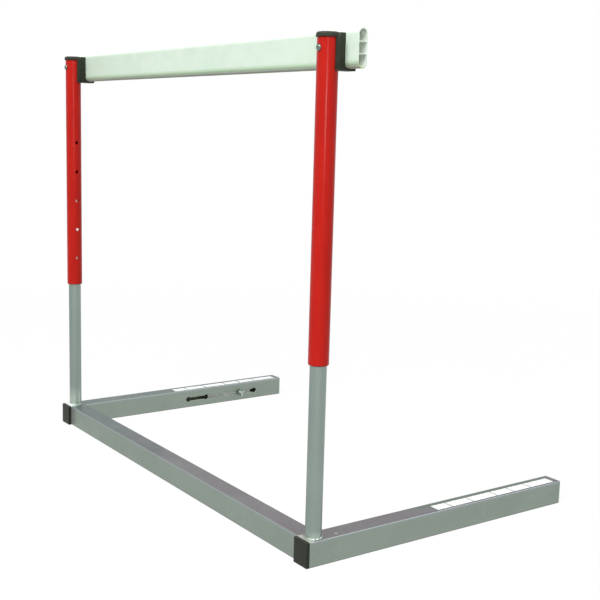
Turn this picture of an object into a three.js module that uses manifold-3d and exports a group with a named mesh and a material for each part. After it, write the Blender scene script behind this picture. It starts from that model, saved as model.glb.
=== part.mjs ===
// Track hurdle: a welded base of box tube, two telescoping uprights and a hollow crossbar.
// Millimetres, +Z up. The hurdle stands on z = 0, X runs along the crossbar, and the feet
// run from the upright end at -Y to their rear end at +Y. The left side is at -X.
import * as THREE from 'three';
import { mergeVertices } from 'three/addons/utils/BufferGeometryUtils.js';
import Module from 'manifold-3d';

const wasm = await Module();
wasm.setup();

// Height settings
const barTop = 991; // top edge of the crossbar as the hurdle is set
const heightStep = 76.2; // from one height setting to the next
const settingsBelow = 3; // settings lower than the present one
const settingsAbove = 1; // settings higher than the present one

// Overall width
const barLength = 1200;
const barOverhang = 27; // the crossbar's end past the side of a foot

// Base: feet and cross member are the same box tube, joined with their tops level
const footReach = 687.5; // front face of the cross member to the rear end of a foot
const footFrontReach = 1.5; // a foot's tube runs this far past the cross member's front
const boxWidth = 43;
const boxHeight = 51;
const boxWall = 2;
const boxCorner = 1.5; // outside corner radius
const boxBoreCorner = 1; // inside corner radius, also of the plugs that go in
const weldGap = 0.1; // between pieces that are welded or stuck face to face

// Plastic plugs in the ends of the feet
const plugFlange = 7; // thickness of the front plug's flange
const plugEdge = 1; // rounding of the flange's edge
const plugDepth = 22; // how far a plug reaches into the tube
const plugWall = 2.5;
const plugGap = 0.3;
const rearPlugRecess = 1; // the rear plug's plate sits this far inside the tube

// Scale labels on top of the feet
const labelLength = 344;
const labelWidth = 27;
const labelThickness = 0.3;
const labelCorner = 1.5;
const labelRearInset = 17; // from the rear end of the foot
const labelOffset = 3; // towards +X from the middle of the foot

// Index slot in the inner side of each foot, with a round hole at each weight position
const slotHeight = 23.5; // axis of the slot above the ground
const slotWidth = 9.4;
const indexHoleDiameter = 14.7;
const indexShares = [0.5316, 0.6189, 0.72, 0.7891, 0.8625]; // of footReach, front to rear
const setIndex = 3; // the hole in which the weight is locked

// Counterweights that slide inside the feet
const weightAhead = 110; // weight's reach from its screw towards the front
const weightBehind = 38; // and towards the rear
const weightSideGap = 0.5; // to the slotted wall
const weightFarGap = 1; // to the opposite wall
const weightFloorGap = 0.3;
const weightTopGap = 1.2;
const weightCorner = 1.2;
const counterboreDiameter = 14.4; // lets the clamp cone in behind the wall
const counterboreDepth = 5;

// Hand screw and clamp cone of a counterweight
const screwDiameter = 7.8;
const screwBoreGap = 0.3; // radial, to the weight's bore and the cone's bore
const screwReach = 26; // depth of the screw's tip behind the foot's face
const coneNoseDiameter = 9;
const coneDiameter = 14.2;
const coneLength = 2.6;
const coneFlangeDiameter = 16.4;
const coneFlange = 1.2;
const coneGap = 0.2; // nose to the foot's face, and flange to the knob, when slack
const knobHubDiameter = 11;
const knobHub = 2.5; // hub length under the lobes
const knobThickness = 7;
const knobEdge = 1.3;
const knobReach = 11.6; // tip of a lobe from the axis
const knobValley = 4.6; // bottom of the notch between two lobes
const knobLobes = 3;
const lobeSteps = 12; // points of the outline for each lobe
const lobeSharpness = 1.5;

// Posts: the fixed inner tubes of the uprights
const postDiameter = 32;
const postWall = 2;
const postLength = 605;
const buttonDrop = 123.1; // axis of the snap button below the post's top
const beadHeight = 4.5; // weld bead round the foot of the post
const beadWidth = 4;
const glideFlange = 4; // glide ring on top of the post
const glideDepth = 16;
const glideBore = 20;
const glideGap = 0.25;

// Outer tubes: they slide on the posts
const tubeDiameter = 39.4;
const tubeWall = 3;
const tubeLength = 589.7;
const tubeRimRadius = 2.6; // rounding of the lower rim
const settingHoleDiameter = 8.8;

// Snap button: a bent spring strip with the button fixed to it, inside the post
const buttonDiameter = 8;
const buttonHoleGap = 0.25; // radial, in the post's wall
const buttonProud = 1.7; // past the outer tube's surface
const buttonDome = 2;
const stripWidth = 10;
const stripThickness = 0.8;
const stripGap = 0.3; // strip to the post's bore
const stripAbove = 10; // strip above the button's axis
const stripBelow = 42; // strip below the button's axis, down to its bend
const stripBend = 5; // radius of the bend's middle line
const stripFarLeg = 50; // height of the far leg above the bend

// Crossbar: an extrusion with rounded edges and three chambers
const barHeight = 70;
const barThickness = 20;
const barWall = 2;
const barWeb = 1.8;
const barWebShares = [0.355, 0.66]; // of barHeight, from the bottom

// Bracket between an outer tube and the crossbar
const capDrop = 7.4; // cap's top below the bar's top
const capHeight = 9.1;
const capOverhang = 1.8;
const capEdge = 4.5; // rounding of the cap's top edge
const spigotDepth = 14; // plug inside the tube's top
const spigotWall = 2.2;
const bracketGap = 0.3; // to the tube, outside and inside
const barGap = 0.1; // to the crossbar
const saddleWall = 2.2; // half shell round the back of the tube
const saddleStart = 1.5; // its front edge behind the tube's middle plane
const padWidth = 25; // pad between the tube and the bar
const padReach = 10; // tube's back to the bar's face
const cradleFloor = 3.4; // under the bar
const cradleLip = 4.8; // behind the bar
const cradleLipHeight = 3; // above the bar's bottom
const cradleEdge = 1.5;

// Bracket bolt and its nut, along Y through tube, bracket and bar
const boltDiameter = 8;
const boltHoleGap = 0.25; // radial
const boltHeadDiameter = 12.8;
const boltHead = 4;
const boltSeatGap = 0.15;
const boltStickout = 2; // past the nut
const nutAcross = 13; // across the flats
const nutHeight = 6.5;
const nutFlangeDiameter = 17;
const nutFlange = 1.5;

// Fineness and helpers
const overrun = 5; // cutters run this far past what they cut
const quarterTurn = Math.PI / 2;
const tubeSteps = 32;
const smallSteps = 16;
const cornerSteps = 3;

// Places that follow from the sizes
const footX = barLength / 2 - barOverhang - boxWidth / 2; // middle of a foot and axis of an upright
const uprightY = boxWidth / 2;
const footFrontY = -footFrontReach;
const footLength = footReach + footFrontReach;
const tubeRadius = tubeDiameter / 2;
const tubeInside = tubeRadius - tubeWall;
const postInside = postDiameter / 2 - postWall;
const postTop = boxHeight + weldGap + postLength;
const buttonHeight = postTop - buttonDrop;
const capTop = barTop - capDrop;
const tubeTop = capTop - capHeight;
const tubeBottom = tubeTop - tubeLength;
const barFrontY = uprightY + tubeRadius + padReach;
const barMiddleY = barFrontY + barThickness / 2;
const barMiddleZ = barTop - barHeight / 2;
const barBottom = barTop - barHeight;
const indexPlaces = indexShares.map((share) => share * footReach);
const weightY = indexPlaces[setIndex];

// A closed solid from a three.js geometry: corners merged, slivers dropped, faces outward
function solidOf(geometry) {
  const bare = geometry.clone();
  bare.deleteAttribute('normal');
  bare.deleteAttribute('uv');
  const merged = mergeVertices(bare);
  const corners = merged.attributes.position.array;
  const faces = [];
  const index = merged.index.array;
  let volume = 0;
  const [a, b, c] = [new THREE.Vector3(), new THREE.Vector3(), new THREE.Vector3()];
  for (let i = 0; i < index.length; i += 3) {
    const [p, q, r] = [index[i], index[i + 1], index[i + 2]];
    if (p === q || q === r || r === p) continue;
    faces.push([p, q, r]);
    a.fromArray(corners, p * 3);
    b.fromArray(corners, q * 3);
    c.fromArray(corners, r * 3);
    volume += a.dot(b.cross(c));
  }
  const outward = volume < 0 ? faces.map(([p, q, r]) => [p, r, q]) : faces;
  return new wasm.Manifold(new wasm.Mesh({
    numProp: 3,
    vertProperties: Float32Array.from(corners),
    triVerts: Uint32Array.from(outward.flat()),
  }));
}

function geometryOf(solid) {
  const mesh = solid.getMesh();
  const geometry = new THREE.BufferGeometry();
  const positions = [];
  for (let i = 0; i < mesh.vertProperties.length; i += mesh.numProp) {
    positions.push(mesh.vertProperties[i], mesh.vertProperties[i + 1], mesh.vertProperties[i + 2]);
  }
  geometry.setAttribute('position', new THREE.BufferAttribute(Float32Array.from(positions), 3));
  geometry.setIndex(new THREE.BufferAttribute(Uint32Array.from(mesh.triVerts), 1));
  geometry.computeVertexNormals();
  return geometry;
}

function join(...pieces) {
  return geometryOf(pieces.map(solidOf).reduce((whole, piece) => whole.add(piece)));
}

function cut(body, ...tools) {
  return geometryOf(tools.map(solidOf).reduce((whole, tool) => whole.subtract(tool), solidOf(body)));
}

// Solid of revolution about Z from a list of [radius, height] points
function turned(profile, steps = smallSteps) {
  const points = profile.map(([radius, height]) => new THREE.Vector2(radius, height));
  return new THREE.LatheGeometry(points, steps).rotateX(quarterTurn);
}

// Tube about Z, its profile closed on itself
function ring(inside, outside, low, high, steps = smallSteps) {
  return turned([[inside, low], [outside, low], [outside, high], [inside, high], [inside, low]], steps);
}

function rod(radius, low, high, steps = smallSteps) {
  return turned([[0, low], [radius, low], [radius, high], [0, high]], steps);
}

// Points of a quarter circle in a profile, from one angle to another
function arc(centreRadius, centreHeight, radius, from, to, steps = cornerSteps) {
  return Array.from({ length: steps + 1 }, (_, i) => {
    const angle = from + ((to - from) * i) / steps;
    return [centreRadius + radius * Math.cos(angle), centreHeight + radius * Math.sin(angle)];
  });
}

// Point the Z axis of a geometry along +X or -X, or along +Y or -Y
function alongX(geometry, sense) {
  return geometry.rotateY(sense * quarterTurn);
}

function alongY(geometry, sense) {
  return geometry.rotateX(-sense * quarterTurn);
}

function roundedOutline(width, height, radius) {
  const x = width / 2 - radius;
  const y = height / 2 - radius;
  const outline = new THREE.Shape();
  outline.absarc(x, y, radius, 0, quarterTurn);
  outline.absarc(-x, y, radius, quarterTurn, 2 * quarterTurn);
  outline.absarc(-x, -y, radius, 2 * quarterTurn, 3 * quarterTurn);
  outline.absarc(x, -y, radius, 3 * quarterTurn, 4 * quarterTurn);
  outline.closePath();
  return outline;
}

function extruded(outline, depth, edge = 0) {
  const bevel = { bevelEnabled: edge > 0, bevelThickness: edge, bevelSize: edge, bevelSegments: 2 };
  const body = { depth: depth - 2 * edge, curveSegments: cornerSteps };
  const geometry = new THREE.ExtrudeGeometry(outline, { ...body, ...bevel, bevelOffset: -edge });
  return geometry.translate(0, 0, edge);
}

// The outline's X and Y become the world's Y and Z, and the depth runs along +X
function extrudedAlongX(outline, depth, edge) {
  return extruded(outline, depth, edge).rotateX(quarterTurn).rotateZ(quarterTurn);
}

// The outline's X and Y become the world's X and Z, and the depth runs along +Y
function extrudedAlongY(outline, depth, edge) {
  return extruded(outline, depth, edge).rotateX(quarterTurn).translate(0, depth, 0);
}

function block(width, depth, height) {
  return new THREE.BoxGeometry(width, depth, height);
}

// Base pieces

function boxSection() {
  const section = roundedOutline(boxWidth, boxHeight, boxCorner);
  const bore = roundedOutline(boxWidth - 2 * boxWall, boxHeight - 2 * boxWall, boxBoreCorner);
  section.holes.push(bore);
  return section;
}

function crossMember() {
  const length = 2 * footX - boxWidth - 2 * weldGap;
  return extrudedAlongX(boxSection(), length).translate(-length / 2, uprightY, boxHeight / 2);
}

// The slot and its round holes go through the inner wall only
function foot(inward) {
  const tube = extrudedAlongY(boxSection(), footLength).translate(0, footFrontY, boxHeight / 2);
  const depth = boxWidth / 2 + overrun;
  const first = indexPlaces[0];
  const last = indexPlaces[indexPlaces.length - 1];
  const slot = extrudedAlongX(roundedOutline(last - first, slotWidth, slotWidth / 2), depth);
  slot.translate(inward > 0 ? 0 : -depth, (first + last) / 2, slotHeight);
  const holes = indexPlaces.map((place) => {
    const hole = alongX(rod(indexHoleDiameter / 2, 0, depth), inward);
    return hole.translate(0, place, slotHeight);
  });
  return cut(tube, slot, ...holes);
}

function plugInsert() {
  const width = boxWidth - 2 * boxWall - 2 * plugGap;
  const height = boxHeight - 2 * boxWall - 2 * plugGap;
  const insert = roundedOutline(width, height, boxBoreCorner);
  insert.holes.push(roundedOutline(width - 2 * plugWall, height - 2 * plugWall, boxBoreCorner));
  return insert;
}

function frontPlug() {
  const flange = extrudedAlongY(roundedOutline(boxWidth, boxHeight, boxCorner), plugFlange, plugEdge);
  flange.translate(0, -plugFlange, 0);
  const insert = extrudedAlongY(plugInsert(), plugDepth + plugEdge).translate(0, -plugEdge, 0);
  return join(flange, insert).translate(0, footFrontY - weldGap, boxHeight / 2);
}

function rearPlug() {
  const plate = plugInsert();
  plate.holes.length = 0;
  const face = extrudedAlongY(plate, plugWall).translate(0, -plugWall, 0);
  const skirt = extrudedAlongY(plugInsert(), plugDepth).translate(0, -plugDepth, 0);
  return join(face, skirt).translate(0, footReach - rearPlugRecess, boxHeight / 2);
}

function scaleLabel() {
  const label = extruded(roundedOutline(labelWidth, labelLength, labelCorner), labelThickness);
  const middle = footReach - labelRearInset - labelLength / 2;
  return label.translate(labelOffset, middle, boxHeight + weldGap);
}

// Posts and what they hold

function post(inward) {
  const radius = postDiameter / 2;
  const low = boxHeight + weldGap;
  const bead = arc(radius + beadWidth, low + beadHeight, beadWidth, 3 * quarterTurn, 2 * quarterTurn);
  const shell = turned([
    [postInside, low],
    ...bead.map(([r, z]) => [r, low + beadHeight + (z - low - beadHeight) * (beadHeight / beadWidth)]),
    [radius, postTop],
    [postInside, postTop],
    [postInside, low],
  ], tubeSteps);
  const hole = alongX(rod(buttonDiameter / 2 + buttonHoleGap, 0, radius + overrun), inward);
  return cut(shell, hole.translate(0, 0, buttonHeight)).translate(0, uprightY, 0);
}

function postGlide() {
  const seat = postTop + weldGap;
  const skirt = postInside - glideGap;
  const flange = tubeInside - glideGap;
  const glide = turned([
    [glideBore / 2, seat - glideDepth],
    [skirt, seat - glideDepth],
    [skirt, seat],
    [flange, seat],
    [flange, seat + glideFlange],
    [glideBore / 2, seat + glideFlange],
    [glideBore / 2, seat - glideDepth],
  ], tubeSteps);
  return glide.translate(0, uprightY, 0);
}

// The strip is bent to a V in the XZ plane: the near leg carries the button
function snapButton(inward) {
  const reach = Math.sqrt(postInside ** 2 - (stripWidth / 2) ** 2) - stripGap - stripThickness / 2;
  const middle = new THREE.Path();
  middle.moveTo(reach, stripAbove);
  middle.lineTo(reach, -stripBelow);
  middle.absarc(reach - stripBend, -stripBelow, stripBend, 0, -2 * quarterTurn, true);
  middle.lineTo(-reach, stripFarLeg - stripBelow);
  const line = middle.getPoints(cornerSteps * 2);
  const sides = [1, -1].map((side) => line.map((point, i) => {
    const before = line[Math.max(i - 1, 0)];
    const after = line[Math.min(i + 1, line.length - 1)];
    const run = after.clone().sub(before).normalize();
    const offset = (side * stripThickness) / 2;
    return new THREE.Vector2(point.x - run.y * offset, point.y + run.x * offset);
  }));
  const outline = new THREE.Shape([...sides[0], ...sides[1].reverse()]);
  const strip = extrudedAlongY(outline, stripWidth).translate(0, -stripWidth / 2, 0);
  const radius = buttonDiameter / 2;
  const shoulder = tubeRadius + buttonProud - buttonDome;
  const dome = arc(0, 0, 1, 0, quarterTurn).map(([r, z]) => [r * radius, shoulder + z * buttonDome]);
  const button = turned([[0, reach], [radius, reach], ...dome]);
  const clip = join(strip, alongX(button, 1));
  if (inward < 0) clip.rotateZ(2 * quarterTurn);
  return clip.translate(0, uprightY, buttonHeight);
}

// Sliding frame: outer tubes, crossbar and brackets

function boltBore(radius) {
  const from = -(tubeRadius + overrun);
  return alongY(rod(radius, from, barFrontY - uprightY + barThickness + overrun), 1);
}

function outerTube(inward) {
  const rim = arc(tubeRadius - tubeRimRadius, tubeBottom + tubeRimRadius, tubeRimRadius, -quarterTurn, 0);
  const shell = turned([
    [tubeInside, tubeBottom],
    ...rim,
    [tubeRadius, tubeTop],
    [tubeInside, tubeTop],
    [tubeInside, tubeBottom],
  ], tubeSteps);
  const holes = [];
  for (let step = -settingsAbove; step <= settingsBelow; step += 1) {
    const hole = alongX(rod(settingHoleDiameter / 2, 0, tubeRadius + overrun), inward);
    holes.push(hole.translate(0, 0, buttonHeight + step * heightStep));
  }
  const bolt = boltBore(boltDiameter / 2 + boltHoleGap).translate(0, 0, barMiddleZ);
  return cut(shell, ...holes, bolt).translate(0, uprightY, 0);
}

// Outline of the bar in Y and Z about its middle, grown by a gap
function barOutline(gap) {
  return roundedOutline(barThickness + 2 * gap, barHeight + 2 * gap, barThickness / 2 + gap);
}

function crossbar() {
  const section = barOutline(0);
  const inside = barThickness / 2 - barWall;
  const [lowWeb, highWeb] = barWebShares.map((share) => (share - 1 / 2) * barHeight);
  const end = barHeight / 2 - barWall;
  const chamber = (low, high, roundLow, roundHigh) => {
    const hole = new THREE.Path();
    if (roundLow) hole.absarc(0, low + inside, inside, 2 * quarterTurn, 4 * quarterTurn);
    else hole.moveTo(-inside, low).lineTo(inside, low);
    if (roundHigh) hole.absarc(0, high - inside, inside, 0, 2 * quarterTurn);
    else hole.lineTo(inside, high).lineTo(-inside, high);
    hole.closePath();
    return hole;
  };
  section.holes.push(
    chamber(-end, lowWeb - barWeb / 2, true, false),
    chamber(lowWeb + barWeb / 2, highWeb - barWeb / 2, false, false),
    chamber(highWeb + barWeb / 2, end, false, true),
  );
  const bar = extrudedAlongX(section, barLength).translate(-barLength / 2, barMiddleY, barMiddleZ);
  const bores = [-footX, footX].map((x) => {
    return boltBore(boltDiameter / 2 + boltHoleGap).translate(x, uprightY, barMiddleZ);
  });
  return cut(bar, ...bores);
}

function barBracket() {
  const cap = turned([
    [0, tubeTop + weldGap],
    [tubeRadius + capOverhang, tubeTop + weldGap],
    ...arc(tubeRadius + capOverhang - capEdge, capTop - capEdge, capEdge, 0, quarterTurn),
    [0, capTop],
  ], tubeSteps);
  const spigotOutside = tubeInside - bracketGap;
  const spigotInside = spigotOutside - spigotWall;
  const spigotTop = tubeTop + capHeight / 2;
  const spigot = ring(spigotInside, spigotOutside, tubeTop - spigotDepth, spigotTop, tubeSteps);
  const low = barBottom - cradleFloor;
  const shellInside = tubeRadius + bracketGap;
  const shell = ring(shellInside, shellInside + saddleWall, low, spigotTop, tubeSteps);
  const frontHalf = block(2 * tubeDiameter, 2 * tubeDiameter, 2 * barHeight);
  frontHalf.translate(0, saddleStart - tubeDiameter, low + barHeight);
  const saddle = cut(shell, frontHalf);
  const padBack = tubeRadius + padReach + barThickness / 2;
  const padFront = tubeRadius - tubeWall;
  const pad = block(padWidth, padBack - padFront, capTop - low);
  pad.translate(0, (padBack + padFront) / 2, (capTop + low) / 2);
  const cradleDepth = barThickness + cradleLip + padReach / 2;
  const cradleHeight = cradleFloor + cradleLipHeight;
  const cradle = extrudedAlongX(roundedOutline(cradleDepth, cradleHeight, cradleEdge), padWidth);
  const cradleY = tubeRadius + padReach / 2 + cradleDepth / 2;
  cradle.translate(-padWidth / 2, cradleY, low + cradleHeight / 2);
  const barSpace = extrudedAlongX(barOutline(barGap), padWidth + 2 * overrun);
  barSpace.translate(-padWidth / 2 - overrun, barMiddleY - uprightY, barMiddleZ);
  const backOfPad = block(2 * padWidth, barThickness, barHeight);
  backOfPad.translate(0, barMiddleY - uprightY, barMiddleZ + barThickness / 2);
  const tubeSpace = rod(shellInside, low - overrun, tubeTop, tubeSteps);
  const boltSpace = boltBore(boltDiameter / 2 + boltHoleGap).translate(0, 0, barMiddleZ);
  const outside = cut(join(saddle, pad, cradle), tubeSpace, backOfPad);
  return cut(join(outside, cap, spigot), barSpace, boltSpace).translate(0, uprightY, 0);
}

function bracketBolt() {
  const radius = boltDiameter / 2;
  const seat = -tubeRadius - boltSeatGap;
  const head = boltHeadDiameter / 2;
  const dome = arc(0, 0, 1, quarterTurn, 0).map(([r, z]) => [r * head, seat - z * boltHead]);
  const tip = barFrontY - uprightY + barThickness + boltSeatGap + nutHeight + nutFlange + boltStickout;
  const bolt = turned([...dome, [radius, seat], [radius, tip], [0, tip]]);
  return alongY(bolt, 1).translate(0, uprightY, barMiddleZ);
}

function bracketNut() {
  const corner = nutAcross / 2 / Math.cos(quarterTurn / 3);
  const hexagon = new THREE.Shape(Array.from({ length: 6 }, (_, i) => {
    return new THREE.Vector2(Math.cos((i * 2 * quarterTurn) / 3), Math.sin((i * 2 * quarterTurn) / 3))
      .multiplyScalar(corner);
  }));
  const flange = rod(nutFlangeDiameter / 2, 0, nutFlange);
  const hex = extruded(hexagon, nutHeight).translate(0, 0, nutFlange);
  const bore = rod(boltDiameter / 2 + boltHoleGap, -overrun, nutHeight + nutFlange + overrun);
  const nut = cut(join(flange, hex.translate(0, 0, -nutFlange / 2)), bore);
  const seat = barFrontY + barThickness + boltSeatGap;
  return alongY(nut, 1).translate(0, seat, barMiddleZ);
}

// Counterweights. Their pieces are placed from the face of the slotted wall.

function counterweight(inward) {
  const width = boxWidth - 2 * boxWall - weightSideGap - weightFarGap;
  const height = boxHeight - 2 * boxWall - weightFloorGap - weightTopGap;
  const length = weightAhead + weightBehind;
  const bar = extrudedAlongY(roundedOutline(width, height, weightCorner), length);
  const x = (inward * (weightFarGap - weightSideGap)) / 2;
  bar.translate(x, weightY - weightAhead, boxWall + weightFloorGap + height / 2);
  const face = x + (inward * width) / 2;
  const bore = alongX(rod(screwDiameter / 2 + screwBoreGap, -width - overrun, overrun), inward);
  const counterbore = alongX(rod(counterboreDiameter / 2, -counterboreDepth, overrun), inward);
  const tools = [bore, counterbore].map((tool) => tool.translate(face, weightY, slotHeight));
  return cut(bar, ...tools);
}

// The slotted wall's face is at height 0 here, and the axis points out of it
function placedOnSlot(geometry, inward) {
  return alongX(geometry, inward).translate((inward * boxWidth) / 2, weightY, slotHeight);
}

function clampCone(inward) {
  const bore = screwDiameter / 2 + screwBoreGap;
  const shoulder = coneGap + coneLength;
  const cone = turned([
    [bore, coneGap],
    [coneNoseDiameter / 2, coneGap],
    [coneDiameter / 2, shoulder],
    [coneFlangeDiameter / 2, shoulder],
    [coneFlangeDiameter / 2, shoulder + coneFlange],
    [bore, shoulder + coneFlange],
    [bore, coneGap],
  ]);
  return placedOnSlot(cone, inward);
}

function handScrew(inward) {
  const seat = coneGap + coneLength + coneFlange + coneGap;
  const steps = lobeSteps * knobLobes;
  const lobed = new THREE.Shape(Array.from({ length: steps }, (_, i) => {
    const angle = (i * 4 * quarterTurn) / steps;
    const swell = ((1 + Math.cos(knobLobes * angle)) / 2) ** lobeSharpness;
    const radius = knobValley + (knobReach - knobValley) * swell;
    return new THREE.Vector2(radius * Math.cos(angle), radius * Math.sin(angle));
  }));
  const knob = extruded(lobed, knobThickness, knobEdge).translate(0, 0, seat + knobHub);
  const hub = rod(knobHubDiameter / 2, seat, seat + knobHub + knobThickness / 2);
  const shank = rod(screwDiameter / 2, -screwReach, seat + knobHub);
  return placedOnSlot(join(knob, hub, shank), inward);
}

// Finishes
const finishes = {
  aluminium: { color: 0x8f9b92, roughness: 0.42, metalness: 0.85 },
  redPaint: { color: 0xbf2a20, roughness: 0.28, metalness: 0 },
  blackPlastic: { color: 0x343833, roughness: 0.55, metalness: 0 },
  nylon: { color: 0xd9d7cc, roughness: 0.5, metalness: 0 },
  barPlastic: { color: 0xdcebde, roughness: 0.35, metalness: 0 },
  labelFilm: { color: 0xf6f8f6, roughness: 0.4, metalness: 0 },
  steel: { color: 0xa9aeac, roughness: 0.35, metalness: 1 },
  plainSteel: { color: 0x8c908c, roughness: 0.6, metalness: 0.9 },
};

const group = new THREE.Group();

function add(name, geometry, finish, x = 0) {
  const material = new THREE.MeshStandardMaterial(finishes[finish]);
  const mesh = new THREE.Mesh(geometryOf(solidOf(geometry)), material);
  mesh.name = name;
  mesh.position.x = x;
  group.add(mesh);
}

add('cross_member', crossMember(), 'aluminium');
add('crossbar', crossbar(), 'barPlastic');
for (const [side, sign] of [['left', -1], ['right', 1]]) {
  const x = sign * footX;
  const inward = -sign;
  add(`${side}_foot`, foot(inward), 'aluminium', x);
  add(`${side}_front_plug`, frontPlug(), 'blackPlastic', x);
  add(`${side}_rear_plug`, rearPlug(), 'blackPlastic', x);
  add(`${side}_scale_label`, scaleLabel(), 'labelFilm', x);
  add(`${side}_post`, post(inward), 'aluminium', x);
  add(`${side}_post_glide`, postGlide(), 'nylon', x);
  add(`${side}_snap_button`, snapButton(inward), 'steel', x);
  add(`${side}_outer_tube`, outerTube(inward), 'redPaint', x);
  add(`${side}_bar_bracket`, barBracket(), 'blackPlastic', x);
  add(`${side}_bracket_bolt`, bracketBolt(), 'steel', x);
  add(`${side}_bracket_nut`, bracketNut(), 'steel', x);
  add(`${side}_counterweight`, counterweight(inward), 'plainSteel', x);
  add(`${side}_clamp_cone`, clampCone(inward), 'steel', x);
  add(`${side}_hand_screw`, handScrew(inward), 'steel', x);
}

// The origin is on the ground in the middle of the hurdle's length and depth
group.position.y = -(footReach - footFrontReach - weldGap - plugFlange) / 2;

export default group;
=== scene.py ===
"""Track hurdle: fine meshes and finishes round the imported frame, with camera, light and floor."""

import math

import bmesh
import bpy
import numpy as np
from mathutils import Matrix, Vector


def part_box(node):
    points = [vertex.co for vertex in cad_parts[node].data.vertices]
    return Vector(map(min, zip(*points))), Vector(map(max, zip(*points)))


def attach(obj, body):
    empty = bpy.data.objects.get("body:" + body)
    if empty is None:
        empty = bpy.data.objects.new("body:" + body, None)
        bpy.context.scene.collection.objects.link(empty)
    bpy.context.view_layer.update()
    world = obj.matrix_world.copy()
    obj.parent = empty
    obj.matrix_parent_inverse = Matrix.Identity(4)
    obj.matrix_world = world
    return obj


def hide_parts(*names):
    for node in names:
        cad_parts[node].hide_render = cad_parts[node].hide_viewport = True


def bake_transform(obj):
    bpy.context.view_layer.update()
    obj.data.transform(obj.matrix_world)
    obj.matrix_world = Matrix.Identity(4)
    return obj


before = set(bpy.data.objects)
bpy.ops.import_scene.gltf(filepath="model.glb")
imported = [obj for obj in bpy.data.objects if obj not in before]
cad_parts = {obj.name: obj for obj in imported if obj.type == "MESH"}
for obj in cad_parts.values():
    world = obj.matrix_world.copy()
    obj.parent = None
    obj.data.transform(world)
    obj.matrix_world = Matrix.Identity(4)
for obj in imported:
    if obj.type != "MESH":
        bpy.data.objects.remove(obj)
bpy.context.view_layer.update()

INWARD = {"left": 1.0, "right": -1.0}  # which way along X faces the middle
HALF_PI = math.pi / 2
MICRON = 0.000001

# Base tubes
BOX_WALL = 0.002
BOX_CORNER = 0.0015
BOX_BORE_CORNER = 0.001
SAW_EDGE = 0.0003  # broken edge of a sawn tube
SLOT_WIDTH = 0.0094
INDEX_HOLE = 0.01470
SLOT_HEIGHT = 0.0235
INDEX_SHARES = (0.5316, 0.6189, 0.72, 0.7891, 0.8625)  # of the foot's reach
FOOT_FRONT = 0.0015  # foot's tube past the front of the cross member
HOLE_EDGE = 0.0004  # chamfer of the punched edges

# Plugs in the feet
PLUG_FLANGE = 0.007
PLUG_EDGE = 0.001
PLUG_WALL = 0.0025
PLUG_GAP = 0.0003
PLUG_CROWN = 0.0004
PLUG_BACK_EDGE = 0.0004
PLUG_FIN = 0.00025
PLUG_FIN_WIDTH = 0.0008
PLUG_FIN_CREST = 0.4  # of its width
PLUG_FIN_SHARES = (0.25, 0.5, 0.75)  # of the insert's length
CROWN_SHARES = (0.9, 0.7, 0.5, 0.3, 0.15)  # of the flange's half width, from its side inwards
PLATE_SHARES = (0.8, 0.3)

# Welds
BEAD_HEIGHT = 0.0030
BEAD_WIDTH = 0.0026
BEAD_RIPPLE = 0.0022  # length of one ripple
BEAD_SWELL = 0.08
BEAD_WANDER = 0.05
BEAD_BURIED = 0.08  # of the legs
BEAD_SINK = 0.0001  # the bead starts on the foot, under the post's cut end
SPATTER = 0.0012  # radius of the drops on a bead
SPATTER_TURNS = (-36, -10, 21)  # degrees round a post, from +X
CORNER_BEAD = 0.0042
CORNER_BEAD_WAVES = 400.0
CORNER_BEAD_TIP = (8, 0.3)  # steps over which its ends swell, and the share they start from
BEAD_CRESCENT = 0.5  # how far a ripple's middle lags, in ripples
BEAD_MEAN = 0.6
BEAD_FULLNESS = 1.25
SPATTER_OUT = 0.35  # of the bead's width and height
SPATTER_UP = 0.45

# Labels
LABEL_CORNER = 0.0015
INK = 0.00003
LABEL_TRIM = 0.003  # by which the printed film is narrower on its -X side
LINE_WIDTH = 0.0027
DIGIT_HEIGHT = 0.0032
DIGIT_SHARE = 0.7  # height of a digit in its line of type
DIGIT_GAP = 0.0022
LINE_SHIFTS = (0.0, 0.0008, 0.0008, 0.003, 0.005)  # of the printed lines behind the holes
HEIGHT_MARKS = ("762", "838", "914", "991", "1067")  # bar heights, front hole to rear hole

# Uprights
POST_DIAMETER = 0.032
POST_WALL = 0.002
POST_INSIDE = POST_DIAMETER / 2 - POST_WALL
TUBE_DIAMETER = 0.0394
TUBE_WALL = 0.003
TUBE_RIM = 0.0026
SETTING_HOLE = 0.0088
HEIGHT_STEP = 0.0762
SETTINGS_BELOW = 3
SETTINGS_ABOVE = 1
BUTTON_DIAMETER = 0.008
BUTTON_DOME = 0.002
BUTTON_GAP = 0.00025
BUTTON_RIVET = 1.25  # its foot in the strip, to its own width
STRIP_WIDTH = 0.010
STRIP = 0.0008
BUTTON_SHOULDER = 1.2  # of the strip's thickness
STRIP_ROUND = 0.3  # of its thickness
STRIP_TIP = 0.001
STRIP_GAP = 0.0003
STRIP_ABOVE = 0.010
STRIP_BELOW = 0.042
STRIP_BEND = 0.005
STRIP_FAR_LEG = 0.050
FAR_LEG_SHARES = (0.5, 0.95, 1)
GLIDE_FLANGE = 0.004
GLIDE_BORE = 0.020
GLIDE_GAP = 0.00025
GLIDE_EDGE = 0.0006

# Crossbar
BAR_WALL = 0.002
BAR_WEB = 0.0018
BAR_FILLET = 0.0008
BAR_ROUND = 0.0105  # height of its rounded edges, half as wide as the bar
BAR_WEB_SHARES = (0.355, 0.66)  # of the bar's height, from the bottom

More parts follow.
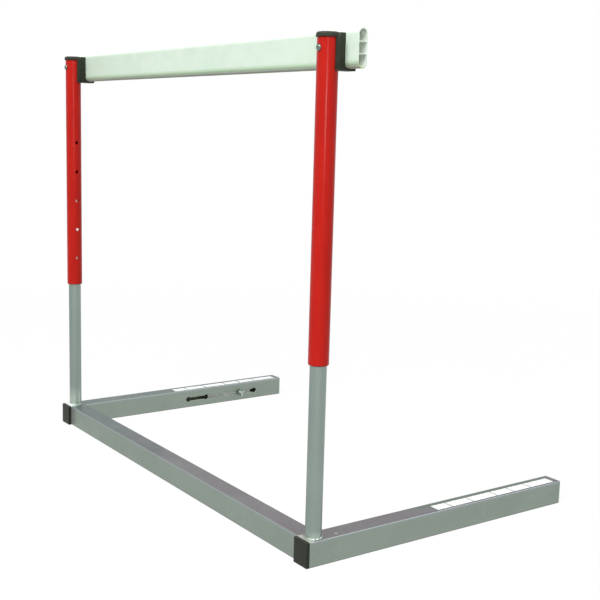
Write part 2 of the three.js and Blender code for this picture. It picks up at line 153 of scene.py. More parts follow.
# Bar brackets
CAP_HEIGHT = 0.0091
CAP_EDGE = 0.0045
SPIGOT_WALL = 0.0022
SPIGOT_DEPTH = 0.014
SADDLE_WALL = 0.0022
SADDLE_START = 0.0015
SADDLE_EDGE = 0.0006
SADDLE_TAPER = 0.7
BRACKET_GAP = 0.0003
BAR_GAP = 0.0001
PAD_WIDTH = 0.025
PAD_REACH = 0.010
PAD_EDGE = 0.0009
CRADLE_FLOOR = 0.0034
CRADLE_LIP = 0.0048
CRADLE_LIP_HEIGHT = 0.003
CRADLE_EDGE = 0.0015
CRADLE_INSET = 0.0002

# Bracket bolts and nuts
BOLT_DIAMETER = 0.008
BOLT_HOLE = 0.0085
BOLT_HEAD = 0.0128
BOLT_HEAD_HEIGHT = 0.004
BOLT_RIM = 0.0006
BOLT_THREAD = 0.014
NUT_ACROSS = 0.013
NUT_FLANGE = 0.0015
NUT_FLANGE_DIAMETER = 0.017
NUT_CHAMFER = 0.0009
THREAD_PITCH = 0.00125
THREAD_DEPTH = 0.0006

# Counterweights, cones and hand screws
COUNTERBORE = 0.0144
COUNTERBORE_DEPTH = 0.005
WEIGHT_EDGE = 0.0012
SCREW_DIAMETER = 0.0078
SCREW_BORE = 0.0084
BORE_FLAT = 0.00001  # keeps the corners of a round bore apart
CONE_NOSE = 0.009
CONE_DIAMETER = 0.0142
CONE_LENGTH = 0.0026
CONE_FLANGE_DIAMETER = 0.0164
CONE_FLANGE = 0.0012
KNOB_HUB_DIAMETER = 0.011
KNOB_HUB = 0.0025
KNOB_THICKNESS = 0.007
KNOB_EDGE = 0.0018
KNOB_REACH = 0.0108
KNOB_VALLEY = 0.0046
KNOB_LOBES = 3
LOBE_SHARPNESS = 1.5
SCREW_REACH = 0.026  # tip of the shank behind the foot's face
CONE_GAP = 0.0002
KNOB_STUD = 0.0022  # end of the shank that shows in the knob's top
KNOB_STUD_DIP = 0.0004
WEIGHT_END = 0.0008

# View, floor and light
VIEW_PLACE = Vector((2.07768, -1.46555, 0.82211))
VIEW_ANGLES = (56.10, 9.19, 1.24)  # bearing, tilt and roll
VIEW_SHIFT = (0.0584, -0.00865)
SENSOR = 36.0
LENS = 63.47
VIEW_CLIP = (0.05, 60)
LAMP_TARGET = Vector((0, 0, 0.45))
LAMPS = (  # name, place, size, level
    ("key", (1.8, -6.2, 6.6), 4.4, 0.76),
    ("front", (6.0, -5.2, 7.8), 3.2, 0.14),
    ("side", (8.0, -1.2, 7.0), 4.4, 0.22),
    ("rear", (3.6, 6.4, 6.8), 4.8, 0.22),
    ("flash", (2.08, -1.47, 0.88), 0.10, 0.075),
)
SKY_LEVEL = 0.34
WHITE = (1.0, 1.0, 1.0)
FLOOR_REACH = 14.0
FLOOR_DROP = 0.0002
FLOOR_FADE = (1.3, 3.4)  # distance from the middle over which the floor turns plain white
FLOOR_WHITE = 0.93  # share of plain white near the hurdle
FLOOR_COLOUR = (0.95, 0.95, 0.95)
FLOOR_BOUNCE = (0.11, 0.11, 0.11)  # what the floor sends back to the hurdle

# Fineness
OVERRUN = 0.004  # cutters run this far past what they cut
ROUND_STEPS = 96
SMALL_STEPS = 48
CORNER_STEPS = 8
EDGE_STEPS = 4
BAR_STEPS = 20
CHAMBER_STEPS = 10
BEND_STEPS = 24
DROP_STEPS = 16
SADDLE_STEPS = 60
THREAD_STEPS = 8  # in one pitch
POST_BEAD_STEPS = 440
CORNER_BEAD_STEPS = 200
SHARPEST = 0.0001  # smallest corner radius
ON_AXIS = 1e-9
MERGE_GAP = 1e-7
TEXT_MERGE_GAP = 1e-6
SMOOTH_ANGLE = math.radians(32)


# Outlines and points

def rounded_loop(width, height, radius, steps=CORNER_STEPS):
    """A rounded rectangle round the origin, anticlockwise, as an array of plane points."""
    angles = np.linspace(0, HALF_PI, steps + 1)
    points = []
    for quarter, (across, up) in enumerate(((1, 1), (-1, 1), (-1, -1), (1, -1))):
        turn = angles + quarter * HALF_PI
        centre = (across * (width / 2 - radius), up * (height / 2 - radius))
        points.append(np.stack([np.cos(turn), np.sin(turn)], 1) * radius + centre)
    return np.concatenate(points)


def circle_loop(radius, steps=SMALL_STEPS):
    turn = np.linspace(0, 2 * math.pi, steps, endpoint=False)
    return np.stack([np.cos(turn), np.sin(turn)], 1) * radius


def arc(centre_u, centre_v, radius, start, end, steps=CORNER_STEPS, tall=None):
    """Points of a profile on an arc from one angle to another, or on an ellipse as tall as is given."""
    turn = np.linspace(start, end, steps + 1)
    return [(centre_u + radius * math.cos(t), centre_v + (tall or radius) * math.sin(t)) for t in turn]


def rim(edge, face, sense, steps=EDGE_STEPS):
    """Margins and places of a rounded edge, from a face on to the flank behind it."""
    return arc(-edge, face + sense * edge, edge, -sense * HALF_PI, 0, steps)


def stood(loop, axis, at):
    """A plane loop as points in space, square to an axis at a place along it."""
    u, v = loop[:, 0], loop[:, 1]
    along = np.full(len(loop), float(at)) if np.isscalar(at) else np.asarray(at, float)
    order = {"x": (along, u, v), "y": (u, along, v), "z": (u, v, along)}[axis]
    return np.stack(order, 1)


# Solids

def merged(mesh, gap):
    """The mesh with its corners merged and its faces turned outwards."""
    form = bmesh.new()
    form.from_mesh(mesh)
    bmesh.ops.remove_doubles(form, verts=form.verts, dist=gap)
    bmesh.ops.recalc_face_normals(form, faces=form.faces)
    form.to_mesh(mesh)
    form.free()
    return mesh


def loft(loops, closed=False):
    """A skin through loops of equal counts, capped at its two ends or joined end to start."""
    count = len(loops[0])
    starts = range(0, count * len(loops), count)
    pairs = list(zip(starts, starts[1:])) + [(starts[-1], 0)] * closed
    faces = []
    for a, b in pairs:
        for i in range(count):
            j = (i + 1) % count
            faces.append((a + i, a + j, b + j, b + i))
    if not closed:
        faces.append(tuple(range(count - 1, -1, -1)))
        faces.append(tuple(range(starts[-1], starts[-1] + count)))
    mesh = bpy.data.meshes.new("solid")
    mesh.from_pydata(np.concatenate(loops).tolist(), [], faces)
    return merged(mesh, MERGE_GAP)


def rings(profile, steps=SMALL_STEPS):
    """Circles about Z for a list of (radius, height) points, as loops to loft."""
    return [stood(circle_loop(max(radius, ON_AXIS), steps), "z", height) for radius, height in profile]


def turned(profile, closed=False, steps=ROUND_STEPS):
    """A solid of revolution about Z from a list of (radius, height) points."""
    return loft(rings(profile, steps), closed)


def aimed(mesh, direction, place=(0, 0, 0)):
    """Turns a mesh made about Z so that its axis points along a direction, and moves it."""
    turn = Vector((0, 0, 1)).rotation_difference(Vector(direction))
    mesh.transform(Matrix.Translation(Vector(place)) @ turn.to_matrix().to_4x4())
    return mesh


def placed(mesh, place):
    mesh.transform(Matrix.Translation(Vector(place)))
    return mesh


def as_object(data, name="solid"):
    thing = bpy.data.objects.new(name, data)
    bpy.context.scene.collection.objects.link(thing)
    return thing


def evaluated(thing):
    """The thing's mesh after its modifiers, with the thing itself removed."""
    bpy.context.view_layer.update()
    seen = thing.evaluated_get(bpy.context.evaluated_depsgraph_get())
    mesh = bpy.data.meshes.new_from_object(seen)
    bpy.data.objects.remove(thing)
    return mesh


def combined(body, add=(), remove=()):
    """One solid: the body joined with some solids, less some others."""
    thing = as_object(body)
    helpers = []
    for operation, tools in (("UNION", add), ("DIFFERENCE", remove)):
        for tool in tools:
            helpers.append(as_object(tool))
            step = thing.modifiers.new(operation, "BOOLEAN")
            step.operation = operation
            step.solver = "MANIFOLD"
            step.object = helpers[-1]
    mesh = evaluated(thing)
    for helper in helpers:
        bpy.data.objects.remove(helper)
    return mesh


def joined(*meshes):
    """Several meshes as one, without joining their surfaces."""
    form = bmesh.new()
    for mesh in meshes:
        form.from_mesh(mesh)
    whole = bpy.data.meshes.new("solid")
    form.to_mesh(whole)
    form.free()
    return whole


def piece(name, mesh, finish, body, slot, *nodes):
    """A shown piece in place of CAD nodes, smooth but for its sharp edges. It rides on its body, if any."""
    mesh.name = name
    mesh.materials.clear()
    mesh.materials.append(finish)
    mesh.shade_smooth()
    mesh.set_sharp_from_angle(angle=SMOOTH_ANGLE)
    thing = as_object(mesh, name)
    thing.modifiers.new("even_normals", "WEIGHTED_NORMAL").keep_sharp = True
    if body:
        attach(thing, body)
    if nodes:
        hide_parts(*nodes)
    return thing


def extent(node):
    """A node's box at rest: its two corners and its middle."""
    low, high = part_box(node)
    return low, high, (low + high) / 2


def middle(node):
    return extent(node)[2]


def walls(node, side):
    """Where a node ends along X: away from the hurdle's middle, and toward it."""
    low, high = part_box(node)
    return (low.x, high.x) if side == "left" else (high.x, low.x)


# Shapes that several pieces share

def grown(width, height, radius, by):
    """A rounded rectangle grown by a margin all round, or shrunk by a negative one."""
    return rounded_loop(width + 2 * by, height + 2 * by, max(radius + by, SHARPEST))


def run_along(axis, stations, closed=False):
    """A bar along an axis from a list of forms, each with its margin and its place."""
    return loft([stood(grown(*form, by), axis, at) for form, by, at in stations], closed)


def rounded_block(form, axis, start, end, edge):
    """A rounded bar along an axis whose two ends have rounded edges."""
    ends = rim(edge, start, 1) + rim(edge, end, -1)[::-1]
    return run_along(axis, [(form, *pair) for pair in ends])


def box_tube(node, axis):
    """Square-cut box tube with its sawn edges broken, in a node's place."""
    low, high, centre = extent(node)
    run = "xy".index(axis)
    start, end = low[run], high[run]
    skin = ((high - low)[1 - run], high.z - low.z, BOX_CORNER)
    bore = (skin[0] - 2 * BOX_WALL, skin[1] - 2 * BOX_WALL, BOX_BORE_CORNER)
    centre[run] = 0
    tube = run_along(axis, (
        (skin, 0, start + SAW_EDGE), (skin, 0, end - SAW_EDGE), (skin, -SAW_EDGE, end),
        (bore, SAW_EDGE, end), (bore, 0, end - SAW_EDGE), (bore, 0, start + SAW_EDGE),
        (bore, SAW_EDGE, start), (skin, -SAW_EDGE, start),
    ), closed=True)
    return placed(tube, centre)


def flat_cutter(form, start, face, inward):
    """Cuts a rounded opening square to X into a flat face and chamfers its edge."""
    return run_along("x", (
        (form, 0, start), (form, 0, face - inward * HOLE_EDGE),
        (form, HOLE_EDGE, face), (form, HOLE_EDGE, face + inward * OVERRUN),
    ))


def curved_cutter(radius, tube_radius, inward):
    """Cuts a round hole square to X into the wall of an upright tube and chamfers its edge."""
    close, wide = circle_loop(radius), circle_loop(radius + HOLE_EDGE)
    edge, face = [np.sqrt(tube_radius ** 2 - loop[:, 0] ** 2) for loop in (close, wide)]
    stations = ((close, 0), (close, edge - HOLE_EDGE), (wide, face), (wide, tube_radius + OVERRUN))
    return loft([stood(loop, "x", inward * at) for loop, at in stations])


def pin(radius, low, high, steps=SMALL_STEPS):
    return turned([(radius, low), (radius, high)], steps=steps)


def bolt_bore(reach, place):
    """Cuts the bore of a bracket bolt, along Y."""
    return aimed(pin(BOLT_HOLE / 2, -reach, reach), (0, 1, 0), place)


def thread(radius, low, high, steps=SMALL_STEPS):
    """Loops of a screw thread about Z, tapered off at both of its ends."""
    turn = np.arange(steps) / steps
    sense = 1 if high > low else -1
    loops = []
    for level in np.arange(low, high, sense * THREAD_PITCH / THREAD_STEPS):
        run_in = min(abs(level - low), abs(high - level)) / THREAD_PITCH
        phase = (level / THREAD_PITCH + turn) % 1
        depth = THREAD_DEPTH * min(run_in, 1) * (1 - np.abs(2 * phase - 1))
        loops.append(stood(circle_loop(1, steps) * (radius - depth)[:, None], "z", level))
    return loops


def weld_bead(corners, legs, closed):
    """A rippled bead laid along corner points. legs holds, for each point, its two leg vectors."""
    share = np.linspace(0, HALF_PI, 13)
    run = np.concatenate([[0], np.cumsum(np.linalg.norm(np.diff(corners, axis=0), axis=1))])
    if closed:
        whole = run[-1] + np.linalg.norm(corners[0] - corners[-1])
        run = run * round(whole / BEAD_RIPPLE) / whole
    else:
        run = run / BEAD_RIPPLE
    loops = []
    for corner, (along, up), place in zip(corners, legs, run):
        phase = (place + BEAD_CRESCENT * (2 * share / HALF_PI - 1) ** 2) % 1
        round_top = np.sqrt(1 - (2 * phase - 1) ** 2)
        swell = 1 + BEAD_SWELL * (round_top - BEAD_MEAN) * np.sin(2 * share)
        front = np.outer(np.cos(share) ** BEAD_FULLNESS * swell, along)
        back = np.outer(np.sin(share) ** BEAD_FULLNESS * swell, up)
        buried = -(along + up) * BEAD_BURIED
        loops.append(np.concatenate([corner + front + back, [corner + buried]]))
    return loft(loops, closed)


# Base

def index_places(side):
    """Places of the index holes along Y."""
    low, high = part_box(f"{side}_foot")
    front = low.y + FOOT_FRONT
    return [front + share * (high.y - front) for share in INDEX_SHARES]


def foot_tube(side):
    """Foot with the index slot and its round holes in the inner wall."""
    node = f"{side}_foot"
    places = index_places(side)
    openings = [(places[-1] - places[0], SLOT_WIDTH, (places[0] + places[-1]) / 2)]
    openings += [(INDEX_HOLE, INDEX_HOLE, place) for place in places]
    cutters = []
    for width, height, place in openings:
        form = (width, height, height / 2)
        cutter = flat_cutter(form, middle(node).x, walls(node, side)[1], INWARD[side])
        cutters.append(placed(cutter, (0, place, SLOT_HEIGHT)))
    return combined(box_tube(node, "y"), remove=cutters)


def insert_stations(form, start, end, sense):
    """Stations of a plug's hollow insert with three gripping fins, from its plate to its end."""
    inside = (form[0] - 2 * PLUG_WALL, form[1] - 2 * PLUG_WALL, form[2])
    fins = []
    for share in PLUG_FIN_SHARES:
        place = start + share * (end - start)
        for offset, by in ((-1, 0), (-PLUG_FIN_CREST, PLUG_FIN), (PLUG_FIN_CREST, PLUG_FIN), (1, 0)):
            fins.append((form, by - PLUG_FIN, place + sense * offset * PLUG_FIN_WIDTH))
    tip = [(form, -PLUG_FIN, end - sense * 2 * PLUG_FIN), (form, -3 * PLUG_FIN, end)]
    hollow = [(inside, 0, end), (inside, 0, start + sense * PLUG_WALL / 4)]
    return [(form, -PLUG_FIN, start)] + fins + tip + hollow


def front_plug(side):
    """Plug in the front of a foot: a crowned flange with soft edges, and a finned insert."""
    low, high, centre = extent(f"{side}_front_plug")
    width, height = high.x - low.x, high.z - low.z
    back = low.y + PLUG_FLANGE
    pairs = [(-share * width / 2, low.y + PLUG_CROWN * (1 - share) ** 2) for share in CROWN_SHARES]
    pairs += rim(PLUG_EDGE, low.y + PLUG_CROWN, 1, 6) + rim(PLUG_BACK_EDGE, back, -1, 3)[::-1]
    slack = 2 * (BOX_WALL + PLUG_GAP)
    insert = (width - slack, height - slack, BOX_BORE_CORNER)
    stations = [((width, height, BOX_CORNER), *pair) for pair in pairs]
    stations += insert_stations(insert, back, high.y, 1)
    return placed(run_along("y", stations), (centre.x, 0, centre.z))


def rear_plug(side):
    """Plug sunk in the rear end of a foot: a plate with a soft edge, and a finned insert."""
    low, high, centre = extent(f"{side}_rear_plug")
    form = (high.x - low.x, high.z - low.z, BOX_BORE_CORNER)
    pairs = [(-share * form[0] / 2, high.y) for share in PLATE_SHARES] + rim(PLUG_BACK_EDGE, high.y, -1)
    stations = [(form, *pair) for pair in pairs]
    stations += insert_stations(form, high.y - PLUG_WALL, low.y, -1)
    return placed(run_along("y", stations), (centre.x, 0, centre.z))


def post_tube(side):
    """Fixed tube of an upright, with the hole for its snap button."""
    low, high, centre = extent(f"{side}_post")
    inside, outside = POST_INSIDE, POST_DIAMETER / 2
    tube = turned([
        (inside, low.z + SAW_EDGE), (inside + SAW_EDGE, low.z), (outside - SAW_EDGE, low.z),
        (outside, low.z + SAW_EDGE), (outside, high.z - SAW_EDGE), (outside - SAW_EDGE, high.z),
        (inside + SAW_EDGE, high.z), (inside, high.z - SAW_EDGE),
    ], closed=True)
    hole = curved_cutter(BUTTON_DIAMETER / 2 + BUTTON_GAP, outside, INWARD[side])
    placed(hole, (0, 0, button_height(side)))
    return placed(combined(tube, remove=[hole]), (centre.x, centre.y, 0))


def button_height(side):
    """Axis of a snap button, from the top end of its strip."""
    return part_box(f"{side}_snap_button")[1].z - STRIP_ABOVE


def post_weld(side):
    """Bead round the foot of a post."""
    low, _, centre = extent(f"{side}_post")
    turn = np.linspace(0, 2 * math.pi, POST_BEAD_STEPS, endpoint=False)
    out = stood(circle_loop(1, POST_BEAD_STEPS), "z", 0)
    wander = 1 + BEAD_WANDER * (np.sin(5 * turn + centre.x) + np.sin(11 * turn + 2) / 2)
    corners = out * (POST_DIAMETER / 2) + (centre.x, centre.y, low.z - BEAD_SINK)
    rise = np.array((0, 0, BEAD_HEIGHT + BEAD_SINK))
    legs = [(ray * BEAD_WIDTH * w, rise * w) for ray, w in zip(out, wander)]
    drops = [placed(turned(arc(0, 0, SPATTER, -HALF_PI, HALF_PI), steps=DROP_STEPS), place)
             for place in spatter_places(side)]
    return combined(weld_bead(corners, legs, closed=True), add=drops)


def spatter_places(side):
    """Middles of the drops of spatter on the bead of a post."""
    low, _, centre = extent(f"{side}_post")
    reach = POST_DIAMETER / 2 + BEAD_WIDTH * SPATTER_OUT
    height = low.z + BEAD_HEIGHT * SPATTER_UP
    return [(centre.x + reach * math.cos(turn), centre.y + reach * math.sin(turn), height)
            for turn in map(math.radians, SPATTER_TURNS)]


def corner_weld(side):
    """Upright bead in the corner between a foot and the back of the cross member."""
    low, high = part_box("cross_member")
    x = walls("cross_member", side)[0]
    steps = np.arange(CORNER_BEAD_STEPS)
    heights = np.linspace(low.z + BOX_CORNER / 2, high.z - BOX_CORNER / 2, CORNER_BEAD_STEPS)
    corners = np.array([(x, high.y, height) for height in heights])
    tip_steps, tip_share = CORNER_BEAD_TIP
    ends = np.clip(np.minimum(steps, steps[::-1]) / tip_steps, tip_share, 1)
    reach = CORNER_BEAD * ends * (1 + BEAD_WANDER * np.sin(heights * CORNER_BEAD_WAVES))
    legs = [(np.array((INWARD[side] * r, 0, 0)), np.array((0, r, 0))) for r in reach]
    return weld_bead(corners, legs, closed=False)


def post_glide(side):
    """Glide ring on a post's top."""
    low, high, centre = extent(f"{side}_post_glide")
    bore, flange, skirt = GLIDE_BORE / 2, (high.x - low.x) / 2, POST_INSIDE - GLIDE_GAP
    seat, edge = high.z - GLIDE_FLANGE, GLIDE_EDGE
    ring = turned([
        (bore, low.z + edge), (bore + edge, low.z), (skirt - edge, low.z),
        (skirt, low.z + edge), (skirt, seat), (flange - edge / 2, seat), (flange, seat + edge / 2),
        *arc(flange - edge, high.z - edge, edge, 0, HALF_PI, EDGE_STEPS),
        *arc(bore + edge, high.z - edge, edge, HALF_PI, math.pi, EDGE_STEPS),
    ], closed=True)
    return placed(ring, (centre.x, centre.y, 0))


def strip_reach():
    """How far the middles of the spring strip's two legs stand from the post's axis."""
    return math.sqrt(POST_INSIDE ** 2 - (STRIP_WIDTH / 2) ** 2) - STRIP_GAP - STRIP / 2


def spring_strip():
    """Strip bent down and back up inside a post, round the axis of its button."""
    reach = strip_reach()
    tip = (STRIP_ABOVE, STRIP_ABOVE - STRIP_TIP, STRIP_ABOVE - 2 * STRIP_TIP)
    line = [(reach, height) for height in (*tip, 0, -STRIP_BELOW / 2)]
    line += arc(reach - STRIP_BEND, -STRIP_BELOW, STRIP_BEND, 0, -math.pi, BEND_STEPS)
    foot, far = np.array(line[-1]), np.array((-reach, STRIP_FAR_LEG - STRIP_BELOW))
    line += [tuple(foot + (far - foot) * share) for share in FAR_LEG_SHARES]
    runs = np.gradient(line, axis=0)
    runs /= np.linalg.norm(runs, axis=1)[:, None]
    widths = np.full(len(line), STRIP_WIDTH)
    widths[[0, -1]] -= 2 * STRIP_TIP
    loops = []
    for (x, z), (run_x, run_z), width in zip(line, runs, widths):
        u, v = rounded_loop(width, STRIP, STRIP * STRIP_ROUND, 3).T
        loops.append(np.stack([x + v * run_z, u, z - v * run_x], 1))
    return loft(loops)


def snap_button(side):
    """Bent spring strip with the domed button riveted to it."""
    centre = middle(f"{side}_post")
    reach, radius = strip_reach(), BUTTON_DIAMETER / 2
    proud = abs(walls(f"{side}_snap_button", side)[1] - centre.x)
    button = turned([
        (radius * BUTTON_RIVET, reach - STRIP), (radius * BUTTON_RIVET, reach + STRIP),
        (radius, reach + STRIP * BUTTON_SHOULDER),
        *arc(0, proud - BUTTON_DOME, radius, 0, HALF_PI, 11, BUTTON_DOME),
    ], steps=SMALL_STEPS)
    clip = combined(spring_strip(), add=[aimed(button, (1, 0, 0))])
    if side == "right":
        clip.transform(Matrix.Rotation(math.pi, 4, "Z"))
    return placed(clip, (centre.x, centre.y, button_height(side)))


# Sliding frame

def outer_tube(side):
    """Painted tube with its rolled lower rim and the setting holes in the inner side."""
    low, high, centre = extent(f"{side}_outer_tube")
    radius = TUBE_DIAMETER / 2
    inside = radius - TUBE_WALL
    tube = turned([
        (inside, low.z + SAW_EDGE), (inside + SAW_EDGE / 2, low.z),
        *arc(radius - TUBE_RIM, low.z + TUBE_RIM, TUBE_RIM, -HALF_PI, 0),
        (radius, high.z - SAW_EDGE), (radius - SAW_EDGE, high.z), (inside, high.z),
    ], closed=True)
    cutters = []
    for step in range(-SETTINGS_ABOVE, SETTINGS_BELOW + 1):
        hole = curved_cutter(SETTING_HOLE / 2, radius, INWARD[side])
        cutters.append(placed(hole, (0, 0, button_height(side) + step * HEIGHT_STEP)))
    cutters.append(bolt_bore(2 * radius, (0, 0, middle("crossbar").z)))
    return placed(combined(tube, remove=cutters), (centre.x, centre.y, 0))


def chamber(width, low, high, round_low, round_high):
    """Outline of one chamber of the crossbar, with full rounds or small corners at its ends."""
    points = []
    for level, sense, is_round in ((low, 1, round_low), (high, -1, round_high)):
        radius = width / 2 if is_round else BAR_FILLET
        tall = BAR_ROUND - BAR_WALL if is_round else BAR_FILLET
        start = math.pi if sense > 0 else 0
        for corner, across in enumerate((-sense, sense)):
            quarter = arc(0, 0, 1, start + corner * HALF_PI, start + (corner + 1) * HALF_PI, CHAMBER_STEPS)
            points += [(across * (width / 2 - radius) + radius * u, level + sense * tall + tall * v)
                       for u, v in quarter]
    return np.array(points)


def crossbar_extrusion():
    """Crossbar with rounded edges and three chambers, open at its sawn ends."""
    low, high, centre = extent("crossbar")
    thickness, height = high.y - low.y, high.z - low.z
    stations = ((-SAW_EDGE, low.x), (0, low.x + SAW_EDGE), (0, high.x - SAW_EDGE), (-SAW_EDGE, high.x))
    body = loft([stood(bar_outline(thickness, height, by), "x", at) for by, at in stations])
    inside, end, half_web = thickness - 2 * BAR_WALL, height / 2 - BAR_WALL, BAR_WEB / 2
    low_web, high_web = [(share - 0.5) * height for share in BAR_WEB_SHARES]
    outlines = (
        chamber(inside, -end, low_web - half_web, True, False),
        chamber(inside, low_web + half_web, high_web - half_web, False, False),
        chamber(inside, high_web + half_web, end, False, True),
    )
    cutters = [loft([stood(outline, "x", at) for at in (low.x - OVERRUN, high.x + OVERRUN)])
               for outline in outlines]
    cutters += [bolt_bore(thickness, (middle(f"{side}_outer_tube").x, 0, 0)) for side in INWARD]
    return placed(combined(body, remove=cutters), (0, centre.y, centre.z))


def bar_outline(thickness, height, by):
    """Outline of the crossbar, grown by a margin: straight flanks between half-ellipse edges."""
    half, tall = thickness / 2 + by, BAR_ROUND + by
    loop = rounded_loop(2 * half, 4 * half, half, BAR_STEPS)
    up = np.sign(loop[:, 1])
    rise = np.abs(loop[:, 1]) - half
    loop[:, 1] = up * (height / 2 - BAR_ROUND + rise * tall / half)
    return loop


def bracket_saddle(bottom, top):
    """Half shell of a bracket, round the back of its tube."""
    shell = TUBE_DIAMETER / 2 + BRACKET_GAP + SADDLE_WALL / 2
    start = math.asin(SADDLE_START / shell)
    loops = []
    for t in np.linspace(start, math.pi - start, SADDLE_STEPS):
        inset = max(0, SADDLE_TAPER * SADDLE_WALL / 2 - shell * min(t - start, math.pi - start - t))
        u, v = rounded_loop(SADDLE_WALL - inset, top - bottom - inset, SADDLE_EDGE, 4).T
        reach = shell + u
        loops.append(np.stack([reach * math.cos(t), reach * math.sin(t), v + (top + bottom) / 2], 1))
    return loft(loops)


def bar_bracket(side):
    """Moulded bracket: cap and spigot in the tube's top, saddle, pad, and the cradle of the bar."""
    low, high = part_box(f"{side}_bar_bracket")
    _, tube_high, axis = extent(f"{side}_outer_tube")
    bar_low, bar_high, bar_centre = extent("crossbar")
    bar_place = (0, bar_centre.y - axis.y, bar_centre.z)
    thickness, height = bar_high.y - bar_low.y, bar_high.z - bar_low.z
    radius, cap_radius = TUBE_DIAMETER / 2, (high.x - low.x) / 2
    top, bottom, seat = high.z, low.z, tube_high.z + BAR_GAP
    joint = seat + CAP_HEIGHT / 2
    cap = turned([
        (0, seat), (cap_radius - PAD_EDGE / 2, seat), (cap_radius, seat + PAD_EDGE / 2),
        *arc(cap_radius - CAP_EDGE, top - CAP_EDGE, CAP_EDGE, 0, HALF_PI), (0, top),
    ])
    outside, tip = radius - TUBE_WALL - BRACKET_GAP, seat - SPIGOT_DEPTH
    inside = outside - SPIGOT_WALL
    spigot = turned([
        (inside, tip), (outside - PAD_EDGE, tip), (outside, tip + PAD_EDGE),
        (outside, joint), (inside, joint),
    ], closed=True)
    pad_front, pad_back = radius - TUBE_WALL, radius + PAD_REACH + thickness / 2
    pad = rounded_block((PAD_WIDTH, pad_back - pad_front, PAD_EDGE), "z", bottom, top, PAD_EDGE)
    placed(pad, (0, (pad_front + pad_back) / 2, 0))
    depth, tall = thickness + CRADLE_LIP + PAD_REACH / 2, CRADLE_FLOOR + CRADLE_LIP_HEIGHT
    half = PAD_WIDTH / 2 - CRADLE_INSET
    cradle = rounded_block((depth, tall, CRADLE_EDGE), "x", -half, half, PAD_EDGE)
    placed(cradle, (0, radius + PAD_REACH / 2 + depth / 2, bottom + tall / 2))
    tube_space = pin(radius + BRACKET_GAP, bottom - OVERRUN, tube_high.z, ROUND_STEPS)
    above = rounded_block((thickness, height, SHARPEST), "x", -PAD_WIDTH, PAD_WIDTH, 0)
    placed(above, bar_place)
    placed(above, (0, 0, BAR_ROUND))
    lower = combined(pad, add=[bracket_saddle(bottom, joint), cradle], remove=[tube_space, above])
    bar_space = loft([stood(bar_outline(thickness, height, BAR_GAP), "x", at)
                      for at in (-PAD_WIDTH, PAD_WIDTH)])
    spaces = [placed(bar_space, bar_place), bolt_bore(3 * radius, (0, 0, bar_centre.z))]
    return placed(combined(lower, add=[cap, spigot], remove=spaces), (axis.x, axis.y, 0))


def bracket_bolt(side):
    """Dome-headed bolt along Y with a threaded tip."""
    low, high, centre = extent(f"{side}_bracket_bolt")
    radius, head, rise = BOLT_DIAMETER / 2, BOLT_HEAD / 2, BOLT_RIM
    seat = low.y + BOLT_HEAD_HEIGHT
    loops = rings([
        *arc(0, seat - rise, head, -HALF_PI, 0, 13, BOLT_HEAD_HEIGHT - rise),
        (head, seat - rise / 3), (head - rise / 3, seat), (radius, seat),
    ])
    loops += thread(radius, high.y - BOLT_THREAD, high.y - THREAD_DEPTH)
    loops += rings([(radius - THREAD_DEPTH, high.y), (0, high.y)])
    return placed(aimed(loft(loops), (0, 1, 0)), (centre.x, 0, centre.z))


def hexagon(limit, height):
    """A nut's hexagon at a height, as a loop whose corners are turned off at a limiting radius."""
    turn = np.linspace(0, 2 * math.pi, ROUND_STEPS, endpoint=False)
    flat = NUT_ACROSS / 2 / np.cos((turn + math.pi / 6) % (math.pi / 3) - math.pi / 6)
    return stood(circle_loop(1, ROUND_STEPS) * np.minimum(flat, limit)[:, None], "z", height)


def bracket_nut(side):
    """Flanged hexagon nut with its corners turned off."""
    low, high, centre = extent(f"{side}_bracket_nut")
    flange, across, bore = NUT_FLANGE_DIAMETER / 2, NUT_ACROSS / 2, BOLT_HOLE / 2
    corner = across / math.cos(math.pi / 6)
    foot, root, top = low.y, low.y + NUT_FLANGE, high.y
    loops = [
        *rings([(bore + SAW_EDGE, foot), (flange - SAW_EDGE, foot), (flange, foot + SAW_EDGE),
                (flange, foot + NUT_FLANGE / 2), (corner, root)], ROUND_STEPS),
        hexagon(corner, root + SAW_EDGE),
        hexagon(corner, top - NUT_CHAMFER),
        hexagon(across + NUT_CHAMFER / 2, top - NUT_CHAMFER / 3),
        hexagon(across - SAW_EDGE, top),
        *rings([(bore + NUT_CHAMFER / 2, top), (bore, top - NUT_CHAMFER / 2),
                (bore, foot + SAW_EDGE)], ROUND_STEPS),
    ]
    return placed(aimed(loft(loops, closed=True), (0, 1, 0)), (centre.x, 0, centre.z))


# Counterweights and their clamps

def clamp_place(side):
    """Where the axis of a hand screw meets the outer face of the foot's slotted wall."""
    screw = middle(f"{side}_clamp_cone")
    return Vector((walls(f"{side}_foot", side)[1], screw.y, screw.z))


def counterweight(side):
    """Steel bar inside a foot, bored and counterbored for its clamp."""
    node, inward = f"{side}_counterweight", INWARD[side]
    low, high, centre = extent(node)
    form = (high.x - low.x, high.z - low.z, WEIGHT_EDGE)
    bar = placed(rounded_block(form, "y", low.y, high.y, WEIGHT_END), (centre.x, 0, centre.z))
    far, face = walls(node, side)
    step = face - inward * COUNTERBORE_DEPTH
    clamp = clamp_place(side)
    cutters = []
    for size, start, end in ((SCREW_BORE, far - inward * OVERRUN, step), (COUNTERBORE, step, face)):
        cutter = flat_cutter((size, size, size / 2 - BORE_FLAT), start, end, inward)
        cutters.append(placed(cutter, (0, clamp.y, clamp.z)))
    return combined(bar, remove=cutters)


